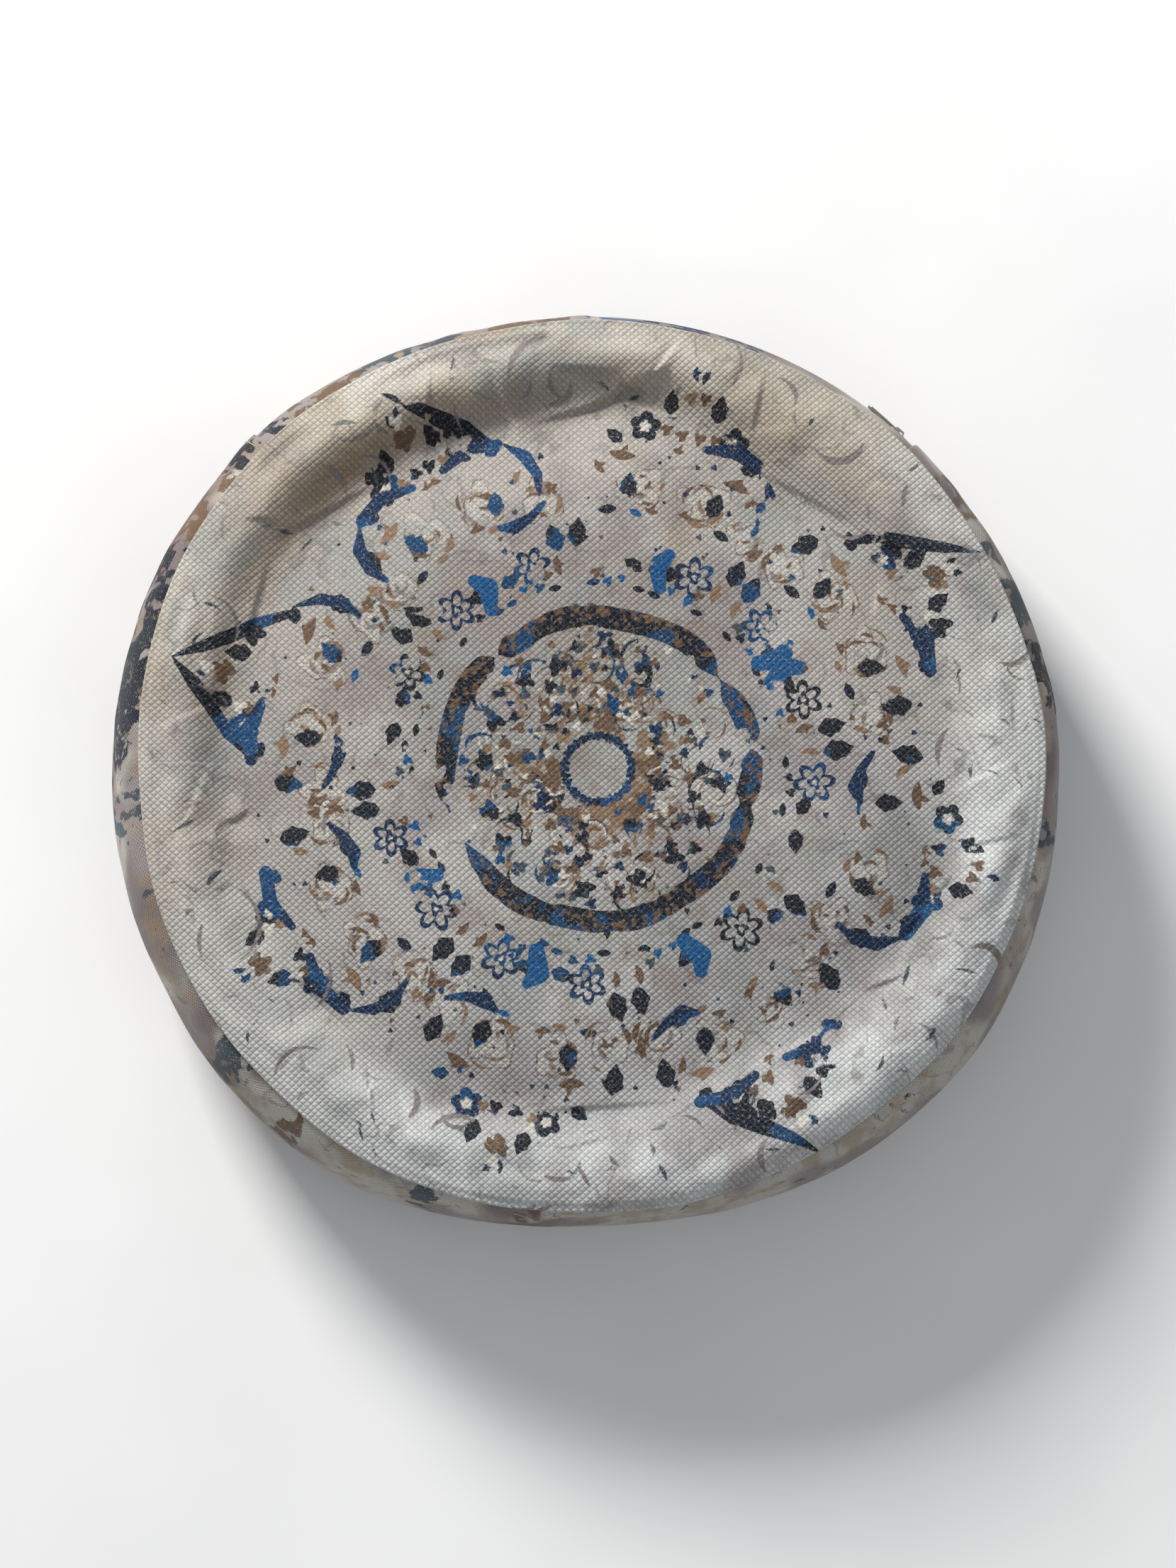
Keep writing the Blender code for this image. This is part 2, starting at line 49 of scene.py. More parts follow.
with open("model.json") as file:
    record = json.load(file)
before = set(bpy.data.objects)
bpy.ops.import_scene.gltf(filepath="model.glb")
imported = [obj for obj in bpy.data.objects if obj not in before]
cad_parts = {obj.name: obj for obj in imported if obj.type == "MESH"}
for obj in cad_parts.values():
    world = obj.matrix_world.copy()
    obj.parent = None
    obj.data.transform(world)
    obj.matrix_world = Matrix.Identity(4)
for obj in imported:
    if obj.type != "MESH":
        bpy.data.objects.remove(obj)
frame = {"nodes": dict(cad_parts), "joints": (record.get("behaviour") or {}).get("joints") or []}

# Sizes that the frame fixes
SEAM_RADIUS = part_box("top_panel")[1].x
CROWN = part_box("top_panel")[1].z
BASE_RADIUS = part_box("bottom_panel")[1].x
BULGE_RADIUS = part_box("side_band")[1].x
CLOTH = 0.0010
THREAD = 0.0006
GAP = 0.0003
FOLD = 2 * CLOTH + THREAD + 2 * GAP  # a turned edge, outside to inside
SEAM_HEIGHT = 0.101  # of the top panel's sewn edge
SEAM_LIP = 0.0015  # how far the panels' edges stand out over the band's
ALLOWANCE = 0.010  # cloth turned in at a seam
LAP = 0.0016  # zip strips' face in from the band's
INSERT_SETBACK = 0.0056  # insert's side in from the band's face

# The zip, across: up the cloth from its centre line, and out from the zip strips' face
SLIDE, SWING = frame["joints"]
ZIP_HEIGHT = SLIDE["pos_m"][2]
ZIP_TILT = math.acos(-SWING["axis"][2])
ZIP_RADIUS = 0.2595413
ZIP_EDGE = 0.00538  # centre line to a strip's edge
ZIP_HALF_OPENING = 45.0
ZIP_HALF_CHAIN = 43.0
LAP_ANGLE = 5.0
TAPE_OUT = -0.0013
TAPE = 0.0005
COIL_OUT = -0.0010
COIL_INNER = 0.00047
COIL_OUTER = 0.0030
COIL_HEIGHT = 0.0019
TOOTH_PITCH = 0.00125

BAKE_ACROSS = 0.60  # length that 0.82 of a round panel's bake map covers
FLOOR_REACH = 14.0
CAMERA_TILT = 83.0  # degrees up from the front
CAMERA_LENS = 190.0
CAMERA_SENSOR = 36.0
CAMERA_VIEW = 0.874  # height of what it sees, at its aim

PRESSURE = 4.0  # of the filling in the cloth simulations
WEAR_SEED = 10  # this draw leaves one lobe with a whole arch, at the back left

SOFT_EDGE = 0.0009  # half the width over which a printed shape's edge fades in its attribute


def smooth(value, low, high):
    """0 below low, 1 above high, and three squares less two cubes of the share between them."""
    share = np.clip((value - low) / (high - low), 0, 1)
    return share * share * (3 - 2 * share)


def mottle(x, y, size, seed):
    """Soft patches from 0 to 1: seeded random values on a square lattice, blended smoothly between them."""
    values = np.random.default_rng(seed).random((64, 64))
    a, b = x / size, y / size
    i, j = np.floor(a).astype(int), np.floor(b).astype(int)
    u, v = smooth(a - i, 0, 1), smooth(b - j, 0, 1)
    i, j = i % 64, j % 64
    k, m = (i + 1) % 64, (j + 1) % 64
    low = values[i, j] * (1 - u) + values[k, j] * u
    return low * (1 - v) + (values[i, m] * (1 - u) + values[k, m] * u) * v


def cloudy(x, y, size, seed):
    """Soft patches with finer ones in them: three mottles, each half the size and strength of the last."""
    rows = [mottle(x + 3.7 * k, y - 1.9 * k, size / 2**k, seed + k) / 2**k for k in range(3)]
    return sum(rows) / 1.75


def spot(radius, angle):
    """X and y of a place given by its radius and its angle in degrees."""
    return radius * np.cos(np.radians(angle)), radius * np.sin(np.radians(angle))


def hills(angle, *rows):
    """Sum of smooth hills round the cushion, each a middle and a half width in degrees and a height."""
    total = np.zeros_like(angle)
    for middle, width, height in rows:
        away = (angle - middle + 180) % 360 - 180
        total += height * np.exp(-((away / width) ** 2))
    return total


# ---- The cushion's shape ----


def seam_outline(angle):
    """Radius of the top seam: the frame's, with low soft hills round it, because the filling isn't even."""
    wide = hills(
        angle, (145, 28, 0.006), (0, 22, 0.003), (237, 26, 0.0035), (200, 20, 0.002), (330, 22, 0.002)
    )
    ripple = 0.0005 * np.sin(np.radians(9 * angle + 40)) + 0.0003 * np.sin(np.radians(17 * angle))
    return SEAM_RADIUS + 0.0005 + wide + ripple


def base_outline(angle):
    """Radius of the base seam, which follows the top one at half its unevenness."""
    return BASE_RADIUS + 0.5 * (seam_outline(angle) - SEAM_RADIUS)


def seam_height(angle):
    """Height of the top seam, which lifts over each lump of filling and dips between them."""
    wide = hills(
        angle, (103, 14, 0.0014), (172, 8, -0.0018), (45, 25, 0.001), (310, 28, 0.0014), (225, 20, 0.001)
    )
    return SEAM_HEIGHT + 0.0014 + wide + 0.0004 * np.sin(np.radians(11 * angle))


def crease(x, y, start, end, lift, reach):
    """A fold along a line between two places given as (angle, radius).

    Its height is a step over the line, the hyperbolic tangent of the distance from it, that dies away with
    the exponential of that distance and towards the line's two ends.
    """
    ends = [r * np.array((math.cos(math.radians(a)), math.sin(math.radians(a)))) for a, r in (start, end)]
    along = ends[1] - ends[0]
    length = np.hypot(*along)
    u = ((x - ends[0][0]) * along[0] + (y - ends[0][1]) * along[1]) / length
    v = ((y - ends[0][1]) * along[0] - (x - ends[0][0]) * along[1]) / length
    taper = smooth(u, -0.3 * length, 0.45 * length) * smooth(-u, -1.3 * length, -0.55 * length)
    return lift * taper * np.tanh(v / 0.0016) * np.exp(-np.abs(v) / reach)


CREASES = (
    # start, end: angle and radius; lift of the cloth; how far it dies away
    ((104, 0.236), (103, 0.196), 0.0030, 0.010),
    ((98, 0.196), (88, 0.205), 0.0027, 0.012),
    ((90, 0.203), (80, 0.224), 0.0034, 0.012),
    ((81, 0.220), (78, 0.246), -0.0027, 0.008),
    ((118, 0.196), (112, 0.238), 0.0019, 0.010),
    ((142, 0.214), (128, 0.200), 0.0023, 0.011),
    ((160, 0.205), (149, 0.212), 0.0019, 0.010),
    ((175, 0.240), (170, 0.208), -0.0010, 0.013),
    ((190, 0.232), (181, 0.214), -0.0015, 0.009),
    ((214, 0.205), (226, 0.199), 0.0017, 0.012),
    ((240, 0.212), (246, 0.236), 0.0013, 0.009),
    ((262, 0.196), (282, 0.194), 0.0013, 0.012),
    ((300, 0.192), (314, 0.203), -0.0017, 0.012),
    ((326, 0.206), (337, 0.204), -0.0015, 0.011),
    ((347, 0.212), (350, 0.240), 0.0013, 0.007),
    ((356, 0.206), (360, 0.232), -0.0011, 0.007),
    ((60, 0.190), (44, 0.198), 0.0019, 0.012),
    ((64, 0.206), (66, 0.240), 0.0017, 0.009),
    ((36, 0.214), (30, 0.242), -0.0013, 0.009),
    ((18, 0.206), (8, 0.214), 0.0013, 0.010),
)


def valley_place(angle):
    """Where the ring-shaped valley runs, as a share of the way from the middle out to the seam."""
    return 0.79 + hills(
        angle, (55, 20, -0.04), (295, 25, -0.06), (81, 10, 0.05), (150, 25, 0.02), (225, 30, 0.02)
    )


def valley_depth(angle):
    """How deep the valley is, deepest at the back left, where the rim is pushed up the most."""
    back = (104, 34, 0.0052), (140, 18, 0.0028), (172, 14, 0.0020), (52, 18, 0.0016)
    more = hills(angle, *back, (5, 30, -0.0018), (200, 30, 0.0016))
    return 0.0098 + more + hills(angle, (270, 28, -0.0020), (225, 18, 0.0010))


def loose_height(x, y, depth=1.0):
    """Height of the top panel's face before its cloth settles.

    A dome, its middle height less a power of the share of the way out, with a rim of filling that swells inside
    the seam, a valley between the two with a gentle inner bank and a steep outer one, soft lumps, and creases.
    """
    angle = np.degrees(np.arctan2(y, x))
    share = np.hypot(x, y) / (seam_outline(angle) - FOLD / 2)
    edge = seam_height(angle)
    middle = CROWN - 0.0022
    dome = middle - (middle - edge) * share**2.4
    away = share - valley_place(angle)
    width = np.where(away < 0, 0.15, 0.085 - hills(angle, (112, 30, 0.030), (172, 10, 0.02), (55, 20, 0.015)))
    valley = valley_depth(angle) * np.exp(-((away / width) ** 2))
    swell = 0.0036 + hills(angle, (100, 22, 0.0012), (308, 38, 0.0044), (150, 14, 0.0008), (225, 18, 0.0006))
    crest = 0.935 + hills(angle, (305, 45, 0.028), (230, 25, 0.010))
    rim = swell * np.exp(-(((share - crest) / 0.058) ** 2))
    near_edge = 1 - smooth(share, 0.94, 1.0)
    outer = smooth(share, 0.66, 0.82)
    lumps = 0.0036 * (cloudy(x, y, 0.058, 3) - 0.5) + 0.0060 * outer * (cloudy(x, y, 0.036, 11) - 0.5)
    turn = np.radians(angle) * SEAM_RADIUS
    gathers = mottle(turn + 30 * (share - 0.9) * 0.0025, share * 0.06, 0.017, 15) - 0.5
    lumps += 0.0042 * gathers * np.exp(-(((share - 0.93) / 0.075) ** 2))
    total = rim - depth * valley + (0.35 + 0.65 * near_edge) * lumps
    for start, end, lift, reach in CREASES:
        total += depth * (0.25 + 0.75 * near_edge) * crease(x, y, start, end, lift, reach)
    rng = np.random.default_rng(33)
    for _ in range(26):
        turn, radius = 360 * rng.random(), SEAM_RADIUS * rng.uniform(0.74, 0.92)
        ends = (turn, radius), (turn + rng.uniform(-9, 9), radius + SEAM_RADIUS * rng.uniform(-0.06, 0.10))
        total += near_edge * crease(x, y, *ends, rng.uniform(-0.0024, 0.0024), rng.uniform(0.004, 0.009))
    return dome + total * (1 - smooth(share, 0.985, 1.0) * 0.6)


def settled(points, quads, pinned, pressure, cap):
    """How each point moves when the cloth is blown up by the filling, held at its pinned points.

    Twenty frames of cloth under pressure without gravity; a soft cap, the hyperbolic tangent, limits the move.
    """
    mesh = bpy.data.meshes.new("slack")
    mesh.from_pydata(points.tolist(), [], quads.tolist())
    slack = bpy.data.objects.new("slack", mesh)
    scene = bpy.context.scene
    scene.collection.objects.link(slack)
    slack.vertex_groups.new(name="sewn").add([int(k) for k in np.flatnonzero(pinned)], 1.0, "REPLACE")
    cloth = slack.modifiers.new("cloth", "CLOTH")
    cloth.settings.vertex_group_mass = "sewn"
    cloth.settings.use_pressure = True
    cloth.settings.uniform_pressure_force = pressure
    cloth.settings.effector_weights.gravity = 0
    cloth.settings.mass = 0.15
    cloth.point_cache.frame_start, cloth.point_cache.frame_end = 1, 20
    for number in range(1, 21):
        scene.frame_set(number)
    blown = slack.evaluated_get(bpy.context.evaluated_depsgraph_get()).data
    ends = np.empty(len(points) * 3, np.float32)
    blown.vertices.foreach_get("co", ends)
    move = ends.reshape(-1, 3).astype(float) - points
    bpy.data.objects.remove(slack)
    bpy.data.meshes.remove(mesh)
    scene.frame_set(1)
    length = np.linalg.norm(move, axis=1)[:, None] + 1e-12
    return move * cap * np.tanh(length / cap) / length


def between(values, a, b):
    """Values on a grid read at fractional places, blended with cubic B-spline weights."""
    i, j = np.floor(a).astype(int), np.floor(b).astype(int)
    weights = []
    for t in (a - i, b - j):
        third = (1 + 3 * t + 3 * t**2 - 3 * t**3) / 6
        weights.append(((1 - t) ** 3 / 6, (4 - 6 * t**2 + 3 * t**3) / 6, third, t**3 / 6))
    total = np.zeros_like(a)
    for m, across in enumerate(weights[0]):
        for n, down in enumerate(weights[1]):
            row = np.clip(i + m - 1, 0, values.shape[0] - 1)
            total += across * down * values[row, np.clip(j + n - 1, 0, values.shape[1] - 1)]
    return total


TOP_HALF = 52  # grid steps from the middle of the settled top panel to its seam
TOP_CAP = 0.006  # the most that it moves


@functools.cache
def top_lift():
    """Upward move of the settled top panel, on a square grid squeezed into the disc."""
    share, angle = disc_grid(TOP_HALF)
    x, y = spot(share * (seam_outline(angle) - FOLD / 2), angle)
    points = np.column_stack([x, y, loose_height(x, y)])
    quads, _ = disc_quads(TOP_HALF)
    lift = settled(points, quads, share > 0.985, PRESSURE, TOP_CAP)[:, 2]
    return lift.reshape((2 * TOP_HALF + 1,) * 2)


def cover_height(x, y):
    """Height of the settled top panel's face."""
    angle = np.degrees(np.arctan2(y, x)) % 360
    share = np.minimum(np.hypot(x, y) / (seam_outline(angle) - FOLD / 2), 1)
    a, b = square_place(share, angle)
    lift = between(top_lift(), (a + 1) * TOP_HALF, (b + 1) * TOP_HALF)
    return loose_height(x, y) + lift * (1 - smooth(share, 0.97, 1.0))


def band_curve(height):
    """Radius of the frame's band: straight from the base's edge to the top's, plus a parabolic bulge."""
    low, high = FOLD + GAP, SEAM_HEIGHT - FOLD - GAP
    share = (height - low) / (high - low)
    straight = BASE_RADIUS + (SEAM_RADIUS - BASE_RADIUS) * share - SEAM_LIP
    bulge = BULGE_RADIUS + SEAM_LIP - (BASE_RADIUS + SEAM_RADIUS) / 2
    return straight + bulge * (1 - (2 * share - 1) ** 2)


def zip_line(height):
    """Radius of the band's face where it is flat for the zip."""
    return ZIP_RADIUS + LAP + math.tan(ZIP_TILT) * (height - ZIP_HEIGHT)


def band_top(angle):
    """Height of the band's upper edge, under the fold of the top panel."""
    return seam_height(angle) - FOLD - GAP


SIDE_ANGLES = np.linspace(90, 450, 301)  # of the settled band's grid
SIDE_ROWS = 21
SIDE_CAP = 0.004  # the most that it moves


@functools.cache
def side_push():
    """Outward move of the settled band, on a grid of angles and shares of its height."""
    angle, share = np.meshgrid(SIDE_ANGLES[:-1], np.linspace(0, 1, SIDE_ROWS), indexing="ij")
    low = FOLD + GAP
    height = low + (band_top(angle) - low) * share
    radius = loose_side(angle, height)
    turn = np.radians(angle)
    points = np.stack([radius * np.cos(turn), radius * np.sin(turn), height], -1).reshape(-1, 3)
    index = np.arange(len(points)).reshape(angle.shape)
    ahead = np.roll(index, -1, 0)
    quads = np.stack([index[:, :-1], ahead[:, :-1], ahead[:, 1:], index[:, 1:]], -1).reshape(-1, 4)
    held = (share < 0.01) | (share > 0.99) | (np.abs((angle - 90 + 180) % 360 - 180) < 56)
    move = settled(points, quads, held.ravel(), PRESSURE, SIDE_CAP)
    push = (move[:, 0] * np.cos(turn.ravel()) + move[:, 1] * np.sin(turn.ravel())).reshape(angle.shape)
    return np.concatenate([push, push[:1]])


def side_face(angle, height):
    """Radius of the settled band's face."""
    low = FOLD + GAP
    angle, height = np.broadcast_arrays(np.asarray(angle, float), height)
    share = np.clip((height - low) / (band_top(angle) - low), 0, 1)
    place = ((angle - 90) % 360) / 360 * (len(SIDE_ANGLES) - 1)
    push = between(side_push(), place, share * (SIDE_ROWS - 1))
    return loose_side(angle, height) + push * smooth(np.minimum(share, 1 - share), 0, 0.06)


def loose_side(angle, height):
    """Radius of the band's face before its cloth settles.

    Round the zip it is the frame's. Elsewhere a fuller curve, one less an even power of the way from the
    middle height and all of that to a power below one, swells from one uneven seam to the other, with
    puckers that fade away from both seams.
    """
    low, high = FOLD + GAP, band_top(angle)
    share = np.clip((height - low) / (high - low), 0, 1)
    straight = base_outline(angle) + (seam_outline(angle) - base_outline(angle)) * share - SEAM_LIP
    swell = 0.0150 + hills(angle, (180, 26, 0.0055), (228, 20, 0.0045), (318, 20, 0.0035), (132, 16, 0.003))
    swell += hills(angle, (275, 26, -0.0075), (70, 24, -0.0030), (0, 20, -0.0012), (90, 40, -0.0015))
    lean = 0.06 * np.sin(np.radians(5 * angle + 20))
    full = (1 - np.abs(2 * share - 1 - lean * share * (1 - share)) ** 2.3) ** 0.72
    along = np.radians(angle) * SEAM_RADIUS
    fade = np.exp(-(high - height) / 0.013) + 0.8 * np.exp(-(height - low) / 0.012)
    puckers = 0.0016 * (mottle(along, 0 * along, 0.011, 21) - 0.5) + 0.0010 * np.sin(along / 0.0052)
    lumps = 0.0030 * (cloudy(along, height, 0.045, 31) - 0.5)
    free = straight + swell * full + puckers * fade * np.minimum(1, full * 2.5) + lumps * full
    held = np.minimum(band_curve(height), zip_line(height))
    back = np.abs((angle - 90 + 180) % 360 - 180)
    zip_share = (1 - smooth(back, 50, 68)) * (1 - smooth(np.abs(height - ZIP_HEIGHT), 0.014, 0.030))
    return free + (held - free) * zip_share


# ---- Meshes ----


def new_piece(name, points, faces, cloth=None, bake=None):
    """A smooth-shaded object from points and a list of corner arrays, one row a face, with its UV maps."""
    mesh = bpy.data.meshes.new(name)
    corners = np.concatenate([f.ravel() for f in faces]).astype(np.int32)
    sizes = np.concatenate([np.full(len(f), f.shape[1]) for f in faces])
    mesh.vertices.add(len(points))
    mesh.vertices.foreach_set("co", np.asarray(points, np.float32).ravel())
    mesh.loops.add(len(corners))
    mesh.loops.foreach_set("vertex_index", corners)
    mesh.polygons.add(len(sizes))
    mesh.polygons.foreach_set("loop_start", np.concatenate([[0], np.cumsum(sizes)[:-1]]).astype(np.int32))
    mesh.polygons.foreach_set("use_smooth", np.ones(len(sizes), bool))
    mesh.update(calc_edges=True)
    for label, uv in (("cloth", cloth), ("OFBake", bake)):
        if uv is not None:
            uv = uv[corners] if len(uv) == len(points) else uv
            mesh.uv_layers.new(name=label).data.foreach_set("uv", np.asarray(uv, np.float32).ravel())
    made = bpy.data.objects.new(name, mesh)
    bpy.context.scene.collection.objects.link(made)
    return made


def disc_grid(half):
    """The points of a square grid squeezed into a disc: shares of the way out, and angles in degrees.

    A point's share is the larger of its two distances from the middle line, and its angle runs evenly
    along each side of its square.
    """
    line = np.arange(-half, half + 1)
    a, b = (g.ravel().astype(float) for g in np.meshgrid(line, line, indexing="ij"))
    flat = np.abs(a) >= np.abs(b)
    over = np.where(flat, a, b)
    over[over == 0] = 1
    turn = 45 * np.where(flat, b, a) / over
    angle = np.where(flat, turn + np.where(a < 0, 180, 0), 90 - turn + np.where(b < 0, 180, 0))
    return np.maximum(np.abs(a), np.abs(b)) / half, angle % 360


def square_place(share, angle):
    """Where a place on the disc lies in the square that is squeezed into it, from -1 to 1 both ways."""
    quarter = np.round(angle / 90) % 4
    along = share * ((angle - 90 * np.round(angle / 90)) / 45)
    a = np.choose(quarter.astype(int), (share, -along, -share, along))
    b = np.choose(quarter.astype(int), (along, share, -along, -share))
    return a, b


def grid_quads(size):
    """Faces of a square grid of points, size points a side."""
    index = np.arange(size * size).reshape(size, size)
    return np.stack([index[:-1, :-1], index[1:, :-1], index[1:, 1:], index[:-1, 1:]], -1).reshape(-1, 4)


def disc_quads(half):
    """The grid's faces, and its outer ring of points from angle 0 round."""
    quads = grid_quads(2 * half + 1)
    share, angle = disc_grid(half)
    outer = np.flatnonzero(share == 1)
    return quads, outer[np.argsort(angle[outer])]


def ring_quads(rings):
    """Faces between each closed ring of points and the next; rings is one row a ring."""
    a, b = rings[:-1], rings[1:]
    return np.stack([a, b, np.roll(b, -1, 1), np.roll(a, -1, 1)], -1).reshape(-1, 4)


def thinning(fine, coarse):
    """Faces between a ring and one that has a quarter of its points."""
    step = len(fine) // len(coarse)
    first = fine.reshape(-1, step)
    last = np.roll(first[:, 0], -1)
    return np.column_stack([first[:, 0], coarse, np.roll(coarse, -1), last, first[:, :0:-1]])


def panel_shell(name, half, outline, height, rings_in, upside_down=False):
    """A round panel of cloth with its edge turned in as the seam allowance, as one closed shell.

    The face is a disc grid, scaled to the outline and raised to the height. At its rim a half circle
    turns it under, it runs in as the allowance and back, and rings inside the face close it.
    """
    share, angle = disc_grid(half)
    quads, rim = disc_quads(half)
    bend = FOLD / 2
    x, y = spot(share * (outline(angle) - bend), angle)
    face = np.column_stack([x, y, height(x, y)])
    round_angle = angle[rim]
    edge = outline(round_angle)
    top = face[rim, 2]
    turns = np.radians(np.linspace(90, -90, 9)[1:])
    profile = [(bend * np.cos(t) - bend, bend * np.sin(t) - bend, bend * (np.pi / 2 - t)) for t in turns]
    profile += [(-s * ALLOWANCE - bend, -FOLD, bend * np.pi + s * ALLOWANCE) for s in (0.3, 0.65, 1.0)]
    cos, sin = np.cos(np.radians(round_angle)), np.sin(np.radians(round_angle))
    points, cloth, faces = [face], [np.column_stack([x, y])], [quads]
    ring, count = [rim], len(face)
    for out, up, along in profile:
        r = edge + out
        points.append(np.column_stack([r * cos, r * sin, top + up]))
        s = edge - bend + along
        cloth.append(np.column_stack([s * cos, s * sin]))
        ring.append(count + np.arange(len(rim)))
        count += len(rim)
    faces.append(ring_quads(np.array(ring)))
    keep = slice(None, None, 4)
    cos, sin, edge, top = cos[keep], sin[keep], edge[keep], top[keep]
    inner = bend - CLOTH
    back = [(-ALLOWANCE - bend, CLOTH - FOLD), (-0.4 * ALLOWANCE - bend, CLOTH - FOLD)]
    back += [(inner * math.cos(t) - bend, inner * math.sin(t) - bend) for t in (-1.4, -0.7, 0.0, 0.7, 1.4)]
    coarse = []
    for out, up in back:
        r = edge + out
        points.append(np.column_stack([r * cos, r * sin, top + up]))
        coarse.append(count + np.arange(len(edge)))
        count += len(edge)
    for s in np.linspace(1, 0, rings_in + 2)[1:-1]:
        r = s * (edge - bend)
        z = height(r * cos, r * sin) - CLOTH
        points.append(np.column_stack([r * cos, r * sin, z]))
        coarse.append(count + np.arange(len(edge)))
        count += len(edge)
    faces += [thinning(ring[-1], coarse[0]), ring_quads(np.array(coarse)), coarse[-1][None, ::-1]]
    points = np.concatenate(points)
    hidden = len(points) - sum(len(c) for c in cloth)
    cloth = np.concatenate(cloth + [points[-hidden:, :2]])
    bake = 0.42 + 0.82 * cloth / BAKE_ACROSS
    bake[-hidden:] = 0.92 + 0.13 * points[-hidden:, :2] / BAKE_ACROSS
    if upside_down:
        points[:, 2] *= -1
        faces = [f[:, ::-1] for f in faces]
    return new_piece(name, points, faces, cloth, bake)


def swept(name, angles, radius, height, closed=False, rows=4):
    """A closed profile carried round the cushion: arrays of radius and height, one row an angle.

    Its cloth map is the length round and the length along the profile, and its bake map the same strip
    cut into stacked rows.
    """
    count, around = radius.shape
    turn = np.radians(angles)[:, None]
    points = np.stack([radius * np.cos(turn), radius * np.sin(turn), height], -1).reshape(-1, 3)
    i, j = (g.ravel() for g in np.meshgrid(np.arange(count - (not closed)), np.arange(around), indexing="ij"))
    index = lambda a, b: (a % count) * around + b % around
    quads = np.stack([index(i, j), index(i, j + 1), index(i + 1, j + 1), index(i + 1, j)], -1)
    step = np.hypot(
        np.diff(radius, axis=1, append=radius[:, :1]), np.diff(height, axis=1, append=height[:, :1])
    )
    length = np.concatenate([np.zeros((count, 1)), np.cumsum(step, 1)], 1).mean(0)
    ci, cj = np.stack([i, i, i + 1, i + 1], -1), np.stack([j, j + 1, j + 1, j], -1)
    spread = np.append(turn[:, 0], turn[0, 0] + 2 * np.pi)
    cloth = np.stack([spread[ci] * BULGE_RADIUS, length[cj]], -1).reshape(-1, 2)
    cells = count - (not closed)
    row = np.minimum(i * rows // cells, rows - 1)[:, None]
    bake = np.stack([ci * rows / cells - row, (row + 0.96 * length[cj] / length[-1]) / rows], -1).reshape(-1, 2)
    faces = [quads]
    if not closed:
        ends = np.stack([np.arange(around)[::-1], (count - 1) * around + np.arange(around)])
        faces.append(ends)
        tail = np.tile(np.linspace(0, 0.004, around), 2)
        cloth = np.concatenate([cloth, np.column_stack([tail, tail * 0])])
        bake = np.concatenate([bake, np.column_stack([tail, 0.999 - tail])])
    return new_piece(name, points, faces, cloth, bake)


def on_zip(up, out):
    """Radius and height of a place on the zip's cross-section."""
    radius = ZIP_RADIUS + math.sin(ZIP_TILT) * up + math.cos(ZIP_TILT) * out
    return radius, ZIP_HEIGHT + math.cos(ZIP_TILT) * up - math.sin(ZIP_TILT) * out


def rod(path, thick, sides=6):
    """A small rod along a path in a plane: points as (along, across, out) and faces, with closed ends.

    Each section is an ellipse set across the path, and shrinks at the two ends with the square root of
    one less the square of the way along.
    """
    path = np.asarray(path, float)
    way = np.gradient(path, axis=0)
    way /= np.linalg.norm(way, axis=1)[:, None]
    side = np.column_stack([way[:, 1] * 0, way[:, 2], -way[:, 1]]) if path[:, 0].ptp() < 1e-9 else None
    if side is None:
        side = np.tile((0.0, 1.0, 0.0), (len(path), 1))
    other = np.cross(way, side)
    t = np.linspace(-0.96, 0.96, len(path))
    size = thick * np.sqrt(1 - t**6)
    turn = np.linspace(0, 2 * np.pi, sides, endpoint=False)
    points = (
        path[:, None]
        + size[:, None, None] * np.cos(turn)[None, :, None] * side[:, None]
        + size[:, None, None] * np.sin(turn)[None, :, None] * other[:, None]
    )
    rings = np.arange(len(path) * sides).reshape(len(path), sides)
    return points.reshape(-1, 3), [ring_quads(rings), rings[:1, ::1], rings[-1:, ::-1]]


def repeated(name, shape, places):
    """Many copies of one small shape as one piece; places maps (along, across, out) to points."""
    points, faces = shape
    made = places(points)
    count, size = made.shape[:2]
    shift = (np.arange(count) * size)[:, None, None]
    spread = [(f[None] + shift).reshape(-1, f.shape[1]) for f in faces]
    piece = new_piece(name, made.reshape(-1, 3), spread)
    face_outwards(piece)
    return piece


def face_outwards(piece):
    """Turns every face of a piece outwards."""
    bm = bmesh.new()
    bm.from_mesh(piece.data)
    bmesh.ops.recalc_face_normals(bm, faces=bm.faces)
    bm.to_mesh(piece.data)
    bm.free()


# ---- The print ----


